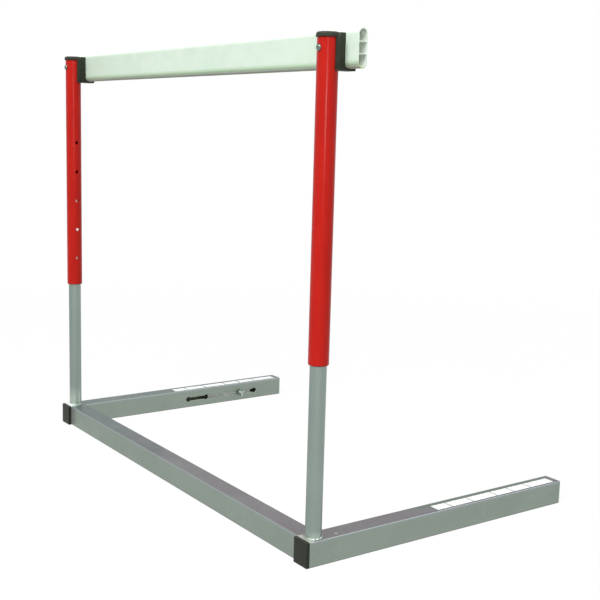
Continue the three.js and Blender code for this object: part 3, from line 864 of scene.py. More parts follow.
def clamp_cone(side):
    """Loose conical collar under a hand screw's knob."""
    bore, nose = SCREW_BORE / 2, CONE_NOSE / 2
    shoulder = CONE_GAP + CONE_LENGTH
    top = shoulder + CONE_FLANGE
    flange = CONE_FLANGE_DIAMETER / 2
    cone = turned([
        (bore, CONE_GAP), (nose - SAW_EDGE / 3, CONE_GAP), (nose, CONE_GAP + SAW_EDGE),
        (CONE_DIAMETER / 2, shoulder), (flange - SAW_EDGE, shoulder), (flange, shoulder + SAW_EDGE),
        (flange, top - SAW_EDGE), (flange - SAW_EDGE, top), (bore, top),
    ], closed=True)
    return aimed(cone, (INWARD[side], 0, 0), clamp_place(side))


def lobed_loop(inset):
    """Outline of the knob, drawn in by an edge's inset."""
    turn = np.linspace(0, 2 * math.pi, ROUND_STEPS, endpoint=False)
    swell = ((1 + np.cos(KNOB_LOBES * turn)) / 2) ** LOBE_SHARPNESS
    reach = KNOB_VALLEY + (KNOB_REACH - KNOB_VALLEY) * swell - inset
    return circle_loop(1, ROUND_STEPS) * reach[:, None]


def hand_screw(side):
    """Three-lobed knob on a threaded shank."""
    seat = CONE_GAP + CONE_LENGTH + CONE_FLANGE + CONE_GAP
    under, top = seat + KNOB_HUB, seat + KNOB_HUB + KNOB_THICKNESS
    stud, dip = KNOB_STUD, KNOB_STUD_DIP
    loops = rings([(0, top - dip / 2), (stud - dip, top - dip / 2), (stud - dip, top - dip),
                   (stud, top - dip), (stud + dip / 2, top)], ROUND_STEPS)
    edges = rim(KNOB_EDGE, top, -1, 7) + rim(KNOB_EDGE, under, 1, 5)[::-1]
    loops += [stood(lobed_loop(-by), "z", at) for by, at in edges]
    hub, shank = KNOB_HUB_DIAMETER / 2, SCREW_DIAMETER / 2
    stem = rings([(0, under + KNOB_EDGE), (hub, under + KNOB_EDGE), (hub, seat + SAW_EDGE),
                  (hub - SAW_EDGE, seat), (shank, seat)], ROUND_STEPS)
    stem += thread(shank, seat, THREAD_DEPTH - SCREW_REACH, ROUND_STEPS)
    stem += rings([(shank - THREAD_DEPTH, -SCREW_REACH), (0, -SCREW_REACH)], ROUND_STEPS)
    return aimed(combined(loft(loops), add=[loft(stem)]), (INWARD[side], 0, 0), clamp_place(side))


# Labels

def label_extent(side):
    """Corners and middle of a label's printed film."""
    low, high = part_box(f"{side}_scale_label")
    low = low + Vector((LABEL_TRIM, 0, 0))
    return low, high, (low + high) / 2


def scale_label(side):
    low, high, centre = label_extent(side)
    form = (high.x - low.x, high.y - low.y, LABEL_CORNER)
    film = run_along("z", ((form, 0, low.z), (form, 0, high.z - INK), (form, -INK, high.z)))
    return placed(film, (centre.x, centre.y, 0))


def number(text, place):
    """A printed number whose digits stand across the label."""
    curve = bpy.data.curves.new("number", "FONT")
    curve.body = text
    curve.size = DIGIT_HEIGHT / DIGIT_SHARE
    curve.align_x, curve.align_y = "CENTER", "CENTER"
    curve.extrude = INK / 2
    return placed(merged(evaluated(as_object(curve)), TEXT_MERGE_GAP), place)


def scale_print(side):
    """Height scale printed on a label: a line at each weight position, and its number."""
    low, high, centre = label_extent(side)
    line_form = (high.x - low.x - 2 * INK, LINE_WIDTH, INK)
    above = (LINE_WIDTH + DIGIT_HEIGHT) / 2 + DIGIT_GAP
    shapes = []
    for place, mark, shift in zip(index_places(side), HEIGHT_MARKS, LINE_SHIFTS):
        line = rounded_block(line_form, "z", -INK / 2, INK, 0)
        shapes.append(placed(line, (centre.x, place + shift, high.z)))
        shapes.append(number(mark, (centre.x, place + shift + above, high.z)))
    return joined(*shapes)


# Finishes

def tone(*levels):
    """A colour given as it looks on screen, from 0 to 255, as the shader wants it."""
    return tuple(((level / 255 + 0.055) / 1.055) ** 2.4 for level in levels)


MILL_SIDE = tone(137, 149, 138)
# Painted reflection: the tops of the box tubes are tinted mauve-grey, cooler toward the left.
MILL_TOP_REFLECTION = tone(119, 113, 118)
MILL_TOP_REFLECTION_COOL = tone(103, 113, 115)
MILL_PALE = tone(168, 178, 171)
MILL_DARK = tone(122, 132, 124)
MILL_GROUND = tone(200, 198, 188)
# Painted highlight over the ground metal in front of the left post.
MILL_GROUND_HIGHLIGHT = tone(238, 240, 236)
# Painted reflection near the front ends of the cross member.
MILL_END_REFLECTION = tone(152, 149, 156)
# Painted highlight on the rounded top edges of the box tubes.
MILL_EDGE_HIGHLIGHT = tone(176, 184, 188)
MILL_POST = tone(138, 151, 144)
# Painted glow of light near the foot of a post.
MILL_POST_GLOW = tone(182, 198, 186)
# Painted reflection along the top of the box tubes' sides.
MILL_BAND_REFLECTION = tone(148, 156, 162)
MILL_REDDENED = tone(206, 148, 138)
WELD = tone(150, 162, 154)
WELD_SOOT = tone(136, 147, 140)
# Painted highlight on the spatter drops and on the left post's bead.
WELD_HIGHLIGHT = tone(250, 252, 251)
MILL_STRIP_FAR = tone(108, 120, 110)
MILL_STRIP_NEAR = tone(112, 108, 120)
# Painted shade along the bottom edges of the box tubes.
MILL_LOW_EDGE_SHADE = tone(126, 120, 130)
# Painted light: the bore of the feet is lighter than the outside, to lift its shade.
MILL_BORE_LIGHT = tone(154, 159, 140)
RED_COAT = tone(195, 31, 20)
RED_COAT_DEEP = tone(188, 27, 18)
RED_COAT_RUBBED = tone(206, 62, 50)
COAT_PRIMER = tone(150, 150, 146)
BAR_PALE = tone(230, 247, 231)
BAR_DEEP = tone(224, 243, 225)
# Dust, and painted shade toward the bar's left end.
BAR_DUST_AND_SHADE = tone(206, 228, 207)
BAR_SCUFF = tone(190, 202, 190)
# Painted shade on the bar's lower rounded edge.
BAR_UNDER_SHADE = tone(192, 219, 186)
# Painted reflection of the ground: olive on the bar's lowest edge.
BAR_BELOW_REFLECTION = tone(182, 222, 150)
# Painted light: the chambers' walls are lighter and more neutral than the outside.
BAR_CHAMBER_LIGHT = tone(242, 250, 240)
BAR_SHADE_HEIGHTS = (0.0165, 0.0085)  # painted shade, above the bar's lower edge
# Painted reflection of the ground: heights above the bar's lower edge over which it fades.
BAR_REFLECTION_HEIGHTS = (0.0080, 0.0020)
BAR_SHADED_END = (-0.15, -0.50)  # along X, painted shade, darker toward the left end
BRACKET_BLACK = tone(41, 44, 34)
BRACKET_RUBBED = tone(51, 54, 44)
PLUG_BLACK = tone(26, 31, 19)
PLUG_RUBBED = tone(34, 39, 27)
PLASTIC_SCUFF = tone(90, 94, 86)
NYLON = tone(222, 219, 208)
NYLON_WORN = tone(198, 194, 182)
LABEL_WHITE = tone(245, 248, 246)
LABEL_DIRT = tone(226, 230, 226)
INK_GREY = tone(118, 126, 122)
STEEL_BRIGHT = tone(170, 184, 176)
STEEL_DULL = tone(150, 164, 156)
BOLT_STEEL = tone(124, 134, 126)
BOLT_STEEL_DULL = tone(94, 102, 96)
BUTTON_STEEL = tone(214, 188, 182)
BUTTON_STEEL_DULL = tone(182, 152, 146)
DRAWN_STEEL = tone(150, 156, 150)
DRAWN_STEEL_DARK = tone(128, 133, 128)
DRAWN_STEEL_PALE = tone(172, 178, 172)
RUST = tone(120, 84, 60)
DRAW_ALONG = 5.0
DRAW_ACROSS = 800.0
SCRATCH_STRETCH = (14.0, 900.0, 900.0)
SCRATCH_HAIRS = (0.69, 0.75)  # noise levels between which a hair begins to show
SCRATCH_PATCHES = 17.0
SCRATCH_FADE = 0.06
SCRATCH_TURNS = {"x": (0.2, 0.1, 0.15), "y": (0.1, 0.2, 1.75), "z": (0.1, 1.45, 0.2)}
MOULDING_SCRATCH_TURN = (0.4, 0.9, 0.7)
INSIDE_SHARE = 0.7  # of a chamber's wall, from which on the painted light inside holds
BORE_SHARE = 0.6  # of a box tube's wall, the same for the painted light in its bore
DROP_HIGHLIGHT_REACH = 1.4  # reach of a drop's painted highlight, to its radius
TOP_REFLECTION_DRIFT = (-0.25, 0.55)  # along X, from the cool painted reflection of the tops to the warm one
GROUND_EASE = {"left": (0.002, -0.008), "right": (-0.008, -0.016)}  # ground metal, from a post's axis; on the left with a painted highlight over it
RUBBED_SPOT = (0.5595, -0.2696, 0.0511)
RUBBED_RADII = (0.0045, 0.0015)
PAINT_RADII = (0.0075, 0.0055)  # of the paint rubbed off on a post at its setting holes
# Painted shade along the bottom edges: heights over which it fades in toward the floor.
LOW_EDGE_SHADE_HEIGHTS = (0.0036, 0.0012)
END_REFLECTION_EASE = (0.5155, 0.5215)  # painted reflection near the ends of the cross member's front, from the middle
BAND_REFLECTION_HEIGHTS = (0.0425, 0.0505)  # painted reflection in a cool band along the top of the box tubes' sides
POST_GLOWS = {"left": (0.112, 0.056, 0.0, 0.75), "right": (0.070, 0.052, 0.0, 0.6)}  # painted glow of light up a post's foot: heights and shares
BEAD_GLOW = (0.003, 0.013)  # painted highlight on the left post's bead, ahead of its axis, toward the outer front corner
BEAD_GLOW_AIM = (0.5, 0.87)
STRIP_START = (-0.10, -0.04)  # along Y, where the strips beside the right label begin
STRIP_FAR = (0.5455, 0.5425)
STRIP_NEAR = (0.5650, 0.5680)
RIM_WEAR = (0.0037, 0.0017)  # above the rim


class Value:
    """A number that changes over a surface. Sums and products of it add the nodes they need."""

    def __init__(self, recipe, socket):
        self.recipe = recipe
        self.socket = socket

    def __add__(self, other):
        return self.recipe.math("ADD", self, other)

    def __sub__(self, other):
        return self.recipe.math("SUBTRACT", self, other)

    def __rsub__(self, other):
        return self.recipe.math("SUBTRACT", other, self)

    def __mul__(self, other):
        return self.recipe.math("MULTIPLY", self, other)

    __radd__ = __add__
    __rmul__ = __mul__


class Recipe:
    """The nodes of one finish, of the floor or of the surroundings."""

    def __init__(self, owner):
        self.owner = owner
        owner.use_nodes = True
        self.tree = owner.node_tree
        self.tree.nodes.clear()

    def start(self, colour):
        """Begins a finish with a plain colour, and with a point's place when the hurdle is at rest."""
        self.colour = colour
        self.place = self.node("TexCoord", output="Object")

    def node(self, kind, inputs=None, output=0, **settings):
        """Adds a node: its settings first, then the values or links of its sockets."""
        made = self.tree.nodes.new("ShaderNode" + kind)
        for name, setting in settings.items():
            setattr(made, name, setting)
        for key, value in (inputs or {}).items():
            socket = self.socket(made.inputs, key)
            if isinstance(value, Value):
                self.tree.links.new(value.socket, socket)
            elif socket.type == "RGBA":
                socket.default_value = (*value, 1)
            else:
                socket.default_value = value
        return Value(self, self.socket(made.outputs, output)) if made.outputs else None

    @staticmethod
    def socket(sockets, key):
        if isinstance(key, int):
            return sockets[key]
        return next(s for s in sockets if key in (s.identifier, s.name))

    def math(self, operation, a, b=0.0):
        return self.node("Math", {0: a, 1: b}, operation=operation)

    def vector_math(self, operation, a, b=(0.0, 0.0, 0.0), output=0):
        return self.node("VectorMath", {0: a, 1: b}, output, operation=operation)

    def part(self, axis, vector=None):
        return self.node("SeparateXYZ", {0: vector or self.place}, axis)

    def facing(self, axis):
        return self.part(axis, self.node("TexCoord", output="Normal"))

    def mirrored(self, vector=None):
        return self.vector_math("ABSOLUTE", vector or self.place)

    def right(self):
        """1 on the right half of the hurdle, else 0."""
        return self.math("GREATER_THAN", self.part("X"), 0.0)

    def distance(self, point):
        return self.vector_math("DISTANCE", self.place, point, "Value")

    def nearest(self, points):
        """Distance to the nearest of some points."""
        gap = self.distance(points[0])
        for point in points[1:]:
            gap = self.math("MINIMUM", self.distance(point), gap)
        return gap

    def noise(self, scale, detail=2.0, roughness=0.5, stretch=None, place=None):
        place = place or self.place
        if stretch:
            place = self.vector_math("MULTIPLY", place, stretch)
        return self.node("TexNoise", {
            "Vector": place, "Scale": scale, "Detail": detail, "Roughness": roughness})

    def cells(self, scale):
        return self.node("TexVoronoi", {"Vector": self.place, "Scale": scale})

    def span(self, value, low, high, to_low=0.0, to_high=1.0):
        """Eases a value from one range to another, and holds it beyond."""
        return self.node("MapRange", {
            "Value": value, "From Min": low, "From Max": high, "To Min": to_low, "To Max": to_high,
        }, interpolation_type="SMOOTHSTEP")

    def sided(self, value, spans):
        """Spans of a value that differ between the left and the right half."""
        right = self.right()
        return self.span(value, *spans["left"]) * (1 - right) + self.span(value, *spans["right"]) * right

    def mix(self, share, first, second):
        """The second colour over the first."""
        colours = {"Factor_Float": share, "A_Color": first, "B_Color": second}
        return self.node("Mix", colours, "Result_Color", data_type="RGBA")

    def lay(self, share, colour):
        """Lays a share of a colour over the finish so far."""
        self.colour = self.mix(share, self.colour, colour)

    def scratches(self, turn, amount):
        """Fine straight marks along a turned X axis. amount is the share of the surface that has them."""
        turned_place = self.node("Mapping", {"Vector": self.place, "Rotation": turn})
        hairs = self.noise(1.0, 0.0, stretch=SCRATCH_STRETCH, place=turned_place)
        patches = self.span(self.noise(SCRATCH_PATCHES, 3.0), 1 - amount, 1 - amount + SCRATCH_FADE)
        return self.span(hairs, *SCRATCH_HAIRS) * patches

    def surface(self, rough, height, **sockets):
        """Ends the recipe with a surface shader, with bumps of a height in metres, if one is given."""
        inputs = {name.replace("_", " "): value for name, value in sockets.items()}
        if height is not None:
            inputs["Normal"] = self.node("Bump", {"Height": height, "Distance": 1.0})
        shader = self.node("BsdfPrincipled", {"Base Color": self.colour, "Roughness": rough, **inputs})
        self.node("OutputMaterial", {"Surface": shader})
        return self.owner


def finish_of(name, colour):
    finish = Recipe(bpy.data.materials.new(name))
    finish.start(colour)
    return finish


def mill_aluminium(run):
    """Mill finish of the extruded tubes, with drawing lines along X, Y or Z, and painted reflections on the
    tops and on the cross member's front ends.
    """
    finish = finish_of(f"mill_aluminium_{run}", MILL_POST if run == "z" else MILL_SIDE)
    factors = [DRAW_ALONG if axis == run else DRAW_ACROSS for axis in "xyz"]
    lines = finish.noise(1.0, 3.0, 0.6, factors)
    grain = finish.noise(1400.0, 1.0)
    cloud = finish.noise(7.0, 4.0, 0.6)
    stain = finish.span(finish.noise(26.0, 5.0, 0.65), 0.56, 0.68)
    marks = finish.scratches(SCRATCH_TURNS[run], 0.44)
    upward = finish.facing("Z")
    top = finish.span(upward, 0.75, 0.97)
    drift = finish.span(finish.part("X") + 0.5 * cloud, *TOP_REFLECTION_DRIFT)
    # Painted reflection: tops tinted mauve-grey, drifting to a cooler grey toward the left.
    finish.lay(top, finish.mix(drift, MILL_TOP_REFLECTION_COOL, MILL_TOP_REFLECTION))
    finish.lay(finish.span(cloud, 0.35, 0.7, 0.0, 0.14), MILL_PALE)
    finish.lay(finish.span(lines, 0.35, 0.7, 0.0, 0.14), MILL_DARK)
    finish.lay(stain * 0.10, MILL_DARK)
    finish.lay(marks * 0.35, MILL_PALE)
    rough = 0.42 + 0.10 * lines - 0.08 * cloud + 0.08 * stain - 0.06 * marks
    if run == "z":
        post_glow_and_rubs(finish)
    else:
        box_painted_light(finish, upward)
    if run == "y":
        rough = rough + foot_marks_and_light(finish, cloud, top, drift)
    if run == "x":
        # Painted reflection on the front face near each end, which is also made rougher there.
        forward = finish.span(finish.facing("Y"), -0.5, -0.9)
        end_reflection = finish.span(finish.part("X", finish.mirrored()), *END_REFLECTION_EASE) * forward
        finish.lay(end_reflection * 0.9, MILL_END_REFLECTION)
        rough = rough + 0.25 * end_reflection
    height = 6 * MICRON * lines + 2 * MICRON * grain - 5 * MICRON * marks
    return finish.surface(rough, height, Metallic=1.0)


def post_glow_and_rubs(finish):
    """Painted glow of light near a post's foot, and paint rubbed off by the setting holes."""
    # Painted glow of light up each post's foot.
    finish.lay(finish.sided(finish.part("Z"), POST_GLOWS), MILL_POST_GLOW)
    spots = []
    for side, inward in INWARD.items():
        for step in (-1, 1):
            spot = middle(f"{side}_post") + Vector((inward * POST_DIAMETER / 2, 0, 0))
            spot.z = button_height(side) + step * HEIGHT_STEP
            spots.append(spot)
    finish.lay(finish.span(finish.nearest(spots), *PAINT_RADII, 0.0, 0.75), MILL_REDDENED)


def box_painted_light(finish, upward):
    """Painted light on a box tube: a painted reflection in a band along its sides, painted shade along its
    bottom edges, and a painted highlight on its long top edges.
    """
    height = finish.part("Z")
    # Painted reflection: a cool band along the top of the sides.
    band = finish.span(height, *BAND_REFLECTION_HEIGHTS) * (1 - finish.span(upward, 0.1, 0.4))
    # Painted highlight on the rounded long top edges.
    edge = finish.span(upward, 0.12, 0.4) * (1 - finish.span(upward, 0.8, 0.96))
    finish.lay(band * 0.7, MILL_BAND_REFLECTION)
    # Painted shade along the bottom edge.
    finish.lay(finish.span(height, *LOW_EDGE_SHADE_HEIGHTS, 0.0, 0.6), MILL_LOW_EDGE_SHADE)
    finish.lay(edge * 0.5, MILL_EDGE_HIGHLIGHT)


def foot_marks_and_light(finish, cloud, top, drift):
    """Strips beside a label, ground metal with a painted highlight on the left, and painted light in the
    bore of the feet. Gives the roughness they add.
    """
    along, across = finish.part("Y"), finish.part("X")
    beside = finish.span(along, *STRIP_START) * finish.right() * top
    finish.lay(beside * finish.span(across, *STRIP_FAR), MILL_STRIP_FAR)
    finish.lay(beside * finish.span(across, *STRIP_NEAR), MILL_STRIP_NEAR)
    # Ground metal in front of each post; on the left it is painted as a near-white highlight.
    ground_and_highlight = finish.sided(along - middle("left_post").y, GROUND_EASE) * top
    ground_and_highlight = ground_and_highlight * finish.span(cloud, 0.3, 0.5, 0.8, 1.0)
    finish.lay(ground_and_highlight * 0.9, finish.mix(drift, MILL_GROUND_HIGHLIGHT, MILL_GROUND))
    finish.lay(finish.span(finish.distance(RUBBED_SPOT), *RUBBED_RADII) * 0.6, MILL_GROUND)
    low, high, centre = extent("right_foot")
    # Painted light in the bore of the feet, lighter than the outside to lift its shade.
    bore = 1.0
    for axis, value in (("x", finish.part("X", finish.mirrored())), ("z", finish.part("Z"))):
        reach = getattr(high - low, axis) / 2 - BOX_WALL * BORE_SHARE
        off = finish.math("ABSOLUTE", value - getattr(centre, axis))
        bore = finish.math("LESS_THAN", off, reach) * bore
    finish.lay(bore, MILL_BORE_LIGHT)
    return 0.12 * ground_and_highlight + 0.2 * bore


def weld_metal():
    """Aluminium bead with dull hollows, drops of spatter with painted highlights, and a painted highlight on
    the left post's bead.
    """
    finish = finish_of("weld_aluminium", WELD)
    cloud = finish.noise(180.0, 3.0)
    fine = finish.noise(1500.0, 2.0)
    finish.lay(finish.span(cloud, 0.4, 0.65), WELD_SOOT)
    # Painted highlights on the spatter drops of the right post.
    finish.lay(finish.span(finish.nearest(spatter_places("right")), SPATTER * DROP_HIGHLIGHT_REACH, SPATTER), WELD_HIGHLIGHT)
    # Painted highlight on the front of the left post's bead.
    post = middle("left_post")
    aim_x, aim_y = BEAD_GLOW_AIM
    outward = aim_x * (post.x - finish.part("X")) + aim_y * (post.y - finish.part("Y"))
    finish.lay(finish.span(outward, *BEAD_GLOW, 0.0, 0.9) * (1 - finish.right()), WELD_HIGHLIGHT)
    height = 20 * MICRON * cloud + 4 * MICRON * fine
    return finish.surface(0.42 + 0.22 * cloud, height, Metallic=1.0)


def powder_coat():
    """Red powder coat: a fine orange peel, faint rub marks, and worn edges at the rims."""
    finish = finish_of("red_powder_coat", RED_COAT)
    peel = finish.noise(420.0, 2.0, 0.4)
    speck = finish.noise(1900.0, 1.0)
    cloud = finish.noise(30.0, 4.0, 0.6, (1.0, 1.0, 0.3))
    rubs = finish.scratches(SCRATCH_TURNS["z"], 0.40)
    finish.lay(finish.span(cloud, 0.35, 0.7), RED_COAT_DEEP)
    finish.lay(rubs * 0.3, RED_COAT_RUBBED)
    above_rim = finish.part("Z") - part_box("left_outer_tube")[0].z
    chip = finish.span(finish.noise(330.0, 3.0), 0.66, 0.69) * finish.span(above_rim, *RIM_WEAR)
    finish.lay(chip, COAT_PRIMER)
    rough = 0.17 + 0.10 * cloud + 0.16 * rubs + 0.25 * chip
    height = 12 * MICRON * peel + 2 * MICRON * speck - 4 * MICRON * rubs - 30 * MICRON * chip
    return finish.surface(rough, height, Specular_IOR_Level=0.15)


def bar_plastic():
    """Extruded plastic of the crossbar: lines along its run, faint mottling and handling marks, with painted
    shade toward its left end and lower edge, a painted reflection of the ground on its lowest edge, and
    painted light in its chambers.
    """
    finish = finish_of("bar_plastic", BAR_PALE)
    lines = finish.noise(1.0, 3.0, 0.6, (4.0, 700.0, 700.0))
    mottle = finish.noise(34.0, 5.0, 0.62, (0.6, 1.0, 1.0))
    scuff = finish.scratches(SCRATCH_TURNS["x"], 0.42)
    dust = finish.span(finish.noise(12.0, 4.0, 0.6), 0.52, 0.72)
    finish.lay(finish.span(mottle, 0.32, 0.7), BAR_DEEP)
    finish.lay(dust * 0.25, BAR_DUST_AND_SHADE)
    # Painted shade, darker toward the bar's left end.
    finish.lay(finish.span(finish.part("X"), *BAR_SHADED_END, 0.0, 0.32), BAR_DUST_AND_SHADE)
    finish.lay(scuff * 0.30, BAR_SCUFF)
    low, high, centre = extent("crossbar")
    above_edge = finish.part("Z") - low.z
    # Painted shade on the lower rounded edge.
    finish.lay(finish.span(above_edge, *BAR_SHADE_HEIGHTS), BAR_UNDER_SHADE)
    # Painted reflection of the ground, olive, on the lowest edge.
    finish.lay(finish.span(above_edge, *BAR_REFLECTION_HEIGHTS), BAR_BELOW_REFLECTION)
    # Painted light on the chambers' inner walls, lighter than the outside.
    inner = (high - low) / 2 - Vector((0, BAR_WALL, BAR_WALL)) * INSIDE_SHARE
    away = finish.mirrored(finish.vector_math("SUBTRACT", finish.place, centre))
    chamber_light = finish.span(finish.math("ABSOLUTE", finish.facing("X")), 0.6, 0.3)
    for axis, reach in (("Y", inner.y), ("Z", inner.z)):
        chamber_light = chamber_light * finish.math("LESS_THAN", finish.part(axis, away), reach)
    finish.lay(chamber_light, BAR_CHAMBER_LIGHT)
    rough = 0.30 + 0.12 * mottle + 0.10 * dust + 0.12 * scuff
    height = 10 * MICRON * lines + 25 * MICRON * mottle - 6 * MICRON * scuff
    return finish.surface(rough, height, Specular_IOR_Level=0.15, Subsurface_Weight=0.1,
                          Subsurface_Scale=0.002, Subsurface_Radius=(1.0, 1.0, 1.0))


def black_plastic(name, black, rubbed):
    """Moulded plastic with a fine spark texture and rubbed patches."""
    finish = finish_of(name, black)
    pores = finish.cells(1700.0)
    grain = finish.noise(900.0, 3.0)
    cloud = finish.noise(55.0, 4.0, 0.6)
    scuff = finish.scratches(MOULDING_SCRATCH_TURN, 0.44)
    finish.lay(finish.span(cloud, 0.35, 0.68), rubbed)
    finish.lay(scuff * 0.45, PLASTIC_SCUFF)
    height = 14 * MICRON * grain + 10 * MICRON * pores - 6 * MICRON * scuff
    return finish.surface(0.44 + 0.16 * cloud + 0.10 * scuff, height, Specular_IOR_Level=0.25)


def natural_nylon():
    finish = finish_of("natural_nylon", NYLON)
    lines = finish.noise(120.0, 2.0, stretch=(1.0, 1.0, 30.0))
    finish.lay(finish.noise(90.0, 3.0), NYLON_WORN)
    return finish.surface(0.38 + 0.2 * lines, 8 * MICRON * lines, IOR=1.53)


def label_film():
    """Printed film under a clear layer, with a little dirt and fine scratches."""
    finish = finish_of("label_film", LABEL_WHITE)
    cloud = finish.noise(40.0, 4.0, 0.6)
    scuff = finish.scratches(SCRATCH_TURNS["y"], 0.40)
    ripple = finish.noise(60.0, 1.0)
    finish.lay(finish.span(cloud, 0.45, 0.75, 0.0, 0.5), LABEL_DIRT)
    finish.lay(scuff * 0.3, LABEL_DIRT)
    height = 10 * MICRON * ripple - 4 * MICRON * scuff
    return finish.surface(0.30 + 0.15 * cloud + 0.2 * scuff, height, IOR=1.5)


def label_ink():
    finish = finish_of("label_ink", INK_GREY)
    wear = finish.span(finish.noise(700.0, 3.0), 0.5, 0.72, 0.0, 0.5)
    finish.lay(wear, LABEL_WHITE)
    return finish.surface(0.45 + 0.2 * wear, None, Specular_IOR_Level=0.1)


def zinc_plate(name, pale, dull, smoothest):
    """Zinc plating: a soft gleam with a faint crystalline cloud."""
    finish = finish_of(name, pale)
    spangle = finish.cells(420.0)
    cloud = finish.noise(110.0, 3.0)
    fine = finish.noise(2200.0, 2.0)
    finish.lay(finish.span(cloud, 0.35, 0.7), dull)
    rough = smoothest + 0.12 * cloud + 0.06 * spangle
    return finish.surface(rough, 2 * MICRON * fine, Metallic=1.0)


def plain_steel():
    """Cold drawn bar: drawing lines along Y, oily clouds and a few rust freckles."""
    finish = finish_of("cold_drawn_steel", DRAWN_STEEL)
    lines = finish.noise(1.0, 3.0, stretch=(900.0, 10.0, 900.0))
    cloud = finish.noise(38.0, 4.0)
    freckle = finish.span(finish.noise(160.0, 4.0, 0.6), 0.64, 0.70)
    finish.lay(finish.span(lines, 0.3, 0.7), DRAWN_STEEL_DARK)
    finish.lay(finish.span(cloud, 0.4, 0.7, 0.0, 0.5), DRAWN_STEEL_PALE)
    finish.lay(freckle * 0.25, RUST)
    rough = 0.36 + 0.14 * lines + 0.3 * freckle
    return finish.surface(rough, 6 * MICRON * lines + 10 * MICRON * freckle, Metallic=1 - 0.5 * freckle)


# Everything in its place

mill = {run: mill_aluminium(run) for run in "xyz"}
bead_finish = weld_metal()
red = powder_coat()
bracket_black = black_plastic("bracket_plastic", BRACKET_BLACK, BRACKET_RUBBED)
plug_black = black_plastic("plug_plastic", PLUG_BLACK, PLUG_RUBBED)
nylon = natural_nylon()
film, ink = label_film(), label_ink()
bright = zinc_plate("zinc_plated_knob", STEEL_BRIGHT, STEEL_DULL, 0.22)
bolt_zinc = zinc_plate("zinc_plated_bolt", BOLT_STEEL, BOLT_STEEL_DULL, 0.09)
button_steel = zinc_plate("worn_button_steel", BUTTON_STEEL, BUTTON_STEEL_DULL, 0.24)
drawn = plain_steel()

piece("cross_member_tube", box_tube("cross_member", "x"), mill["x"], "base", "aluminium", "cross_member")
piece("crossbar_extrusion", crossbar_extrusion(), bar_plastic(), "bar_frame", "bar_plastic", "crossbar")
for side, inward in INWARD.items():
    shapes = (
        ("foot_tube", foot_tube, mill["y"], "base", "aluminium", "foot"),
        ("corner_weld", corner_weld, bead_finish, "base", "aluminium", None),
        ("front_plug_moulding", front_plug, plug_black, "base", "black_plastic", "front_plug"),
        ("rear_plug_moulding", rear_plug, plug_black, "base", "black_plastic", "rear_plug"),
        ("label_film", scale_label, film, "base", "label_film", "scale_label"),
        ("label_print", scale_print, ink, "base", "label_film", None),
        ("post_tube", post_tube, mill["z"], "base", "aluminium", "post"),
        ("post_weld", post_weld, bead_finish, "base", "aluminium", None),
        ("glide_ring", post_glide, nylon, "base", "nylon", "post_glide"),
        ("painted_tube", outer_tube, red, "bar_frame", "red_paint", "outer_tube"),
        ("bracket_moulding", bar_bracket, bracket_black, "bar_frame", "black_plastic", "bar_bracket"),
        ("domed_bolt", bracket_bolt, bolt_zinc, "bar_frame", "bright_steel", "bracket_bolt"),
        ("flange_nut", bracket_nut, bolt_zinc, "bar_frame", "bright_steel", "bracket_nut"),
        ("weight_bar", counterweight, drawn, f"{side}_weight", "plain_steel", "counterweight"),
        ("clamp_collar", clamp_cone, bright, f"{side}_cone", "bright_steel", "clamp_cone"),
        ("lobed_screw", hand_screw, bright, f"{side}_screw", "bright_steel", "hand_screw"),
    )
    for name, shape, finish, body, slot, node in shapes:
        nodes = [f"{side}_{node}"] if node else []
        piece(f"{side}_{name}", shape(side), finish, body, slot, *nodes)
    clip = piece(f"{side}_button_clip", snap_button(side), button_steel, None, "bright_steel",
                 f"{side}_snap_button")
    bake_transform(clip)


# Camera, floor and light

def camera():
    """The photograph's view: bearing, tilt and roll in degrees, and the lens axis beside the middle."""
    bearing, tilt, roll = (math.radians(angle) for angle in VIEW_ANGLES)
    level = math.cos(tilt)
    back = np.array((math.sin(bearing) * level, -math.cos(bearing) * level, math.sin(tilt)))
    across = np.array((math.cos(bearing), math.sin(bearing), 0))
    up = np.cross(back, across)
    right = across * math.cos(roll) + up * math.sin(roll)
    upright = up * math.cos(roll) - across * math.sin(roll)
    lens = bpy.data.cameras.new("view")
    lens.sensor_width, lens.lens = SENSOR, LENS
    lens.shift_x, lens.shift_y = VIEW_SHIFT
    lens.clip_start, lens.clip_end = VIEW_CLIP
    seen = as_object(lens, "view")
    turn = Matrix(np.stack([right, upright, back], 1).tolist()).to_4x4()
    seen.matrix_world = Matrix.Translation(VIEW_PLACE) @ turn
    bpy.context.scene.camera = seen


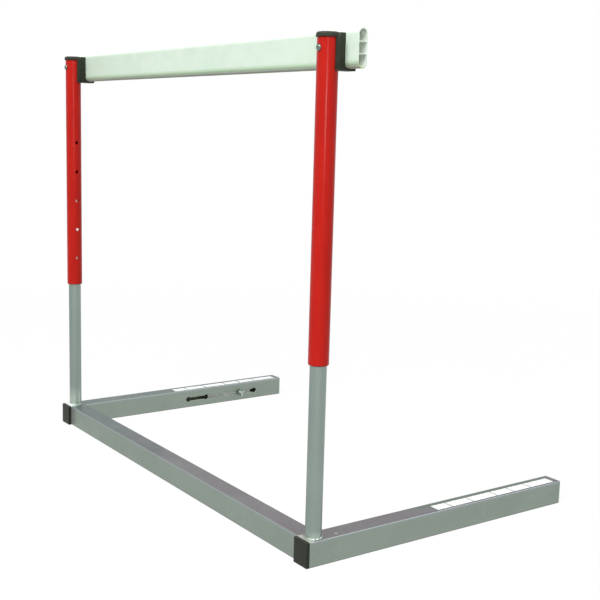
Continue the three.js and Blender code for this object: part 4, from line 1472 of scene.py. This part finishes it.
def lamp(name, place, size, level):
    """A soft square lamp aimed at the middle of the hurdle. Level 1 alone lights white to white."""
    light = bpy.data.lights.new(name, "AREA")
    light.size = size
    gap = LAMP_TARGET - Vector(place)
    light.energy = level * math.pi ** 2 * gap.length_squared
    made = as_object(light, name)
    made.location = place
    made.rotation_mode = "QUATERNION"
    made.rotation_quaternion = gap.to_track_quat("-Z", "Y")


def seen_directly(recipe):
    """1 for rays from the camera and those mirrored or passed on to it, else 0."""
    camera_ray, glossy_ray, passed_ray = [
        recipe.node("LightPath", output=f"Is {kind} Ray") for kind in ("Camera", "Glossy", "Transmission")]
    return recipe.math("MAXIMUM", recipe.math("MAXIMUM", camera_ray, glossy_ray), passed_ray)


def floor():
    """A plain white floor that fades into the white surroundings and keeps a faint shadow."""
    finish = finish_of("white_floor", FLOOR_BOUNCE)
    far = finish.span(finish.distance((0.0, 0.0, 0.0)), *FLOOR_FADE, FLOOR_WHITE, 1.0)
    seen = seen_directly(finish)
    finish.lay(seen, FLOOR_COLOUR)
    matt = finish.node("BsdfDiffuse", {"Color": finish.colour})
    glow = finish.node("Emission", {"Color": WHITE, "Strength": 1.0})
    mixed = finish.node("MixShader", {0: seen * far, 1: matt, 2: glow})
    finish.node("OutputMaterial", {"Surface": mixed})
    sheet = bpy.data.meshes.new("floor")
    corners = ((-1, -1), (1, -1), (1, 1), (-1, 1))
    points = [(u * FLOOR_REACH, v * FLOOR_REACH, -FLOOR_DROP) for u, v in corners]
    sheet.from_pydata(points, [], [(0, 1, 2, 3)])
    sheet.materials.append(finish.owner)
    as_object(sheet, "floor")


def surroundings():
    world = bpy.data.worlds.new("surroundings")
    bpy.context.scene.world = world
    recipe = Recipe(world)
    strength = recipe.span(seen_directly(recipe), 0.0, 1.0, SKY_LEVEL, 1.0)
    sky = recipe.node("Background", {"Color": WHITE, "Strength": strength})
    recipe.node("OutputWorld", {"Surface": sky})


camera()
floor()
surroundings()
for setting in LAMPS:
    lamp(*setting)
bpy.context.scene.view_settings.view_transform = "Standard"
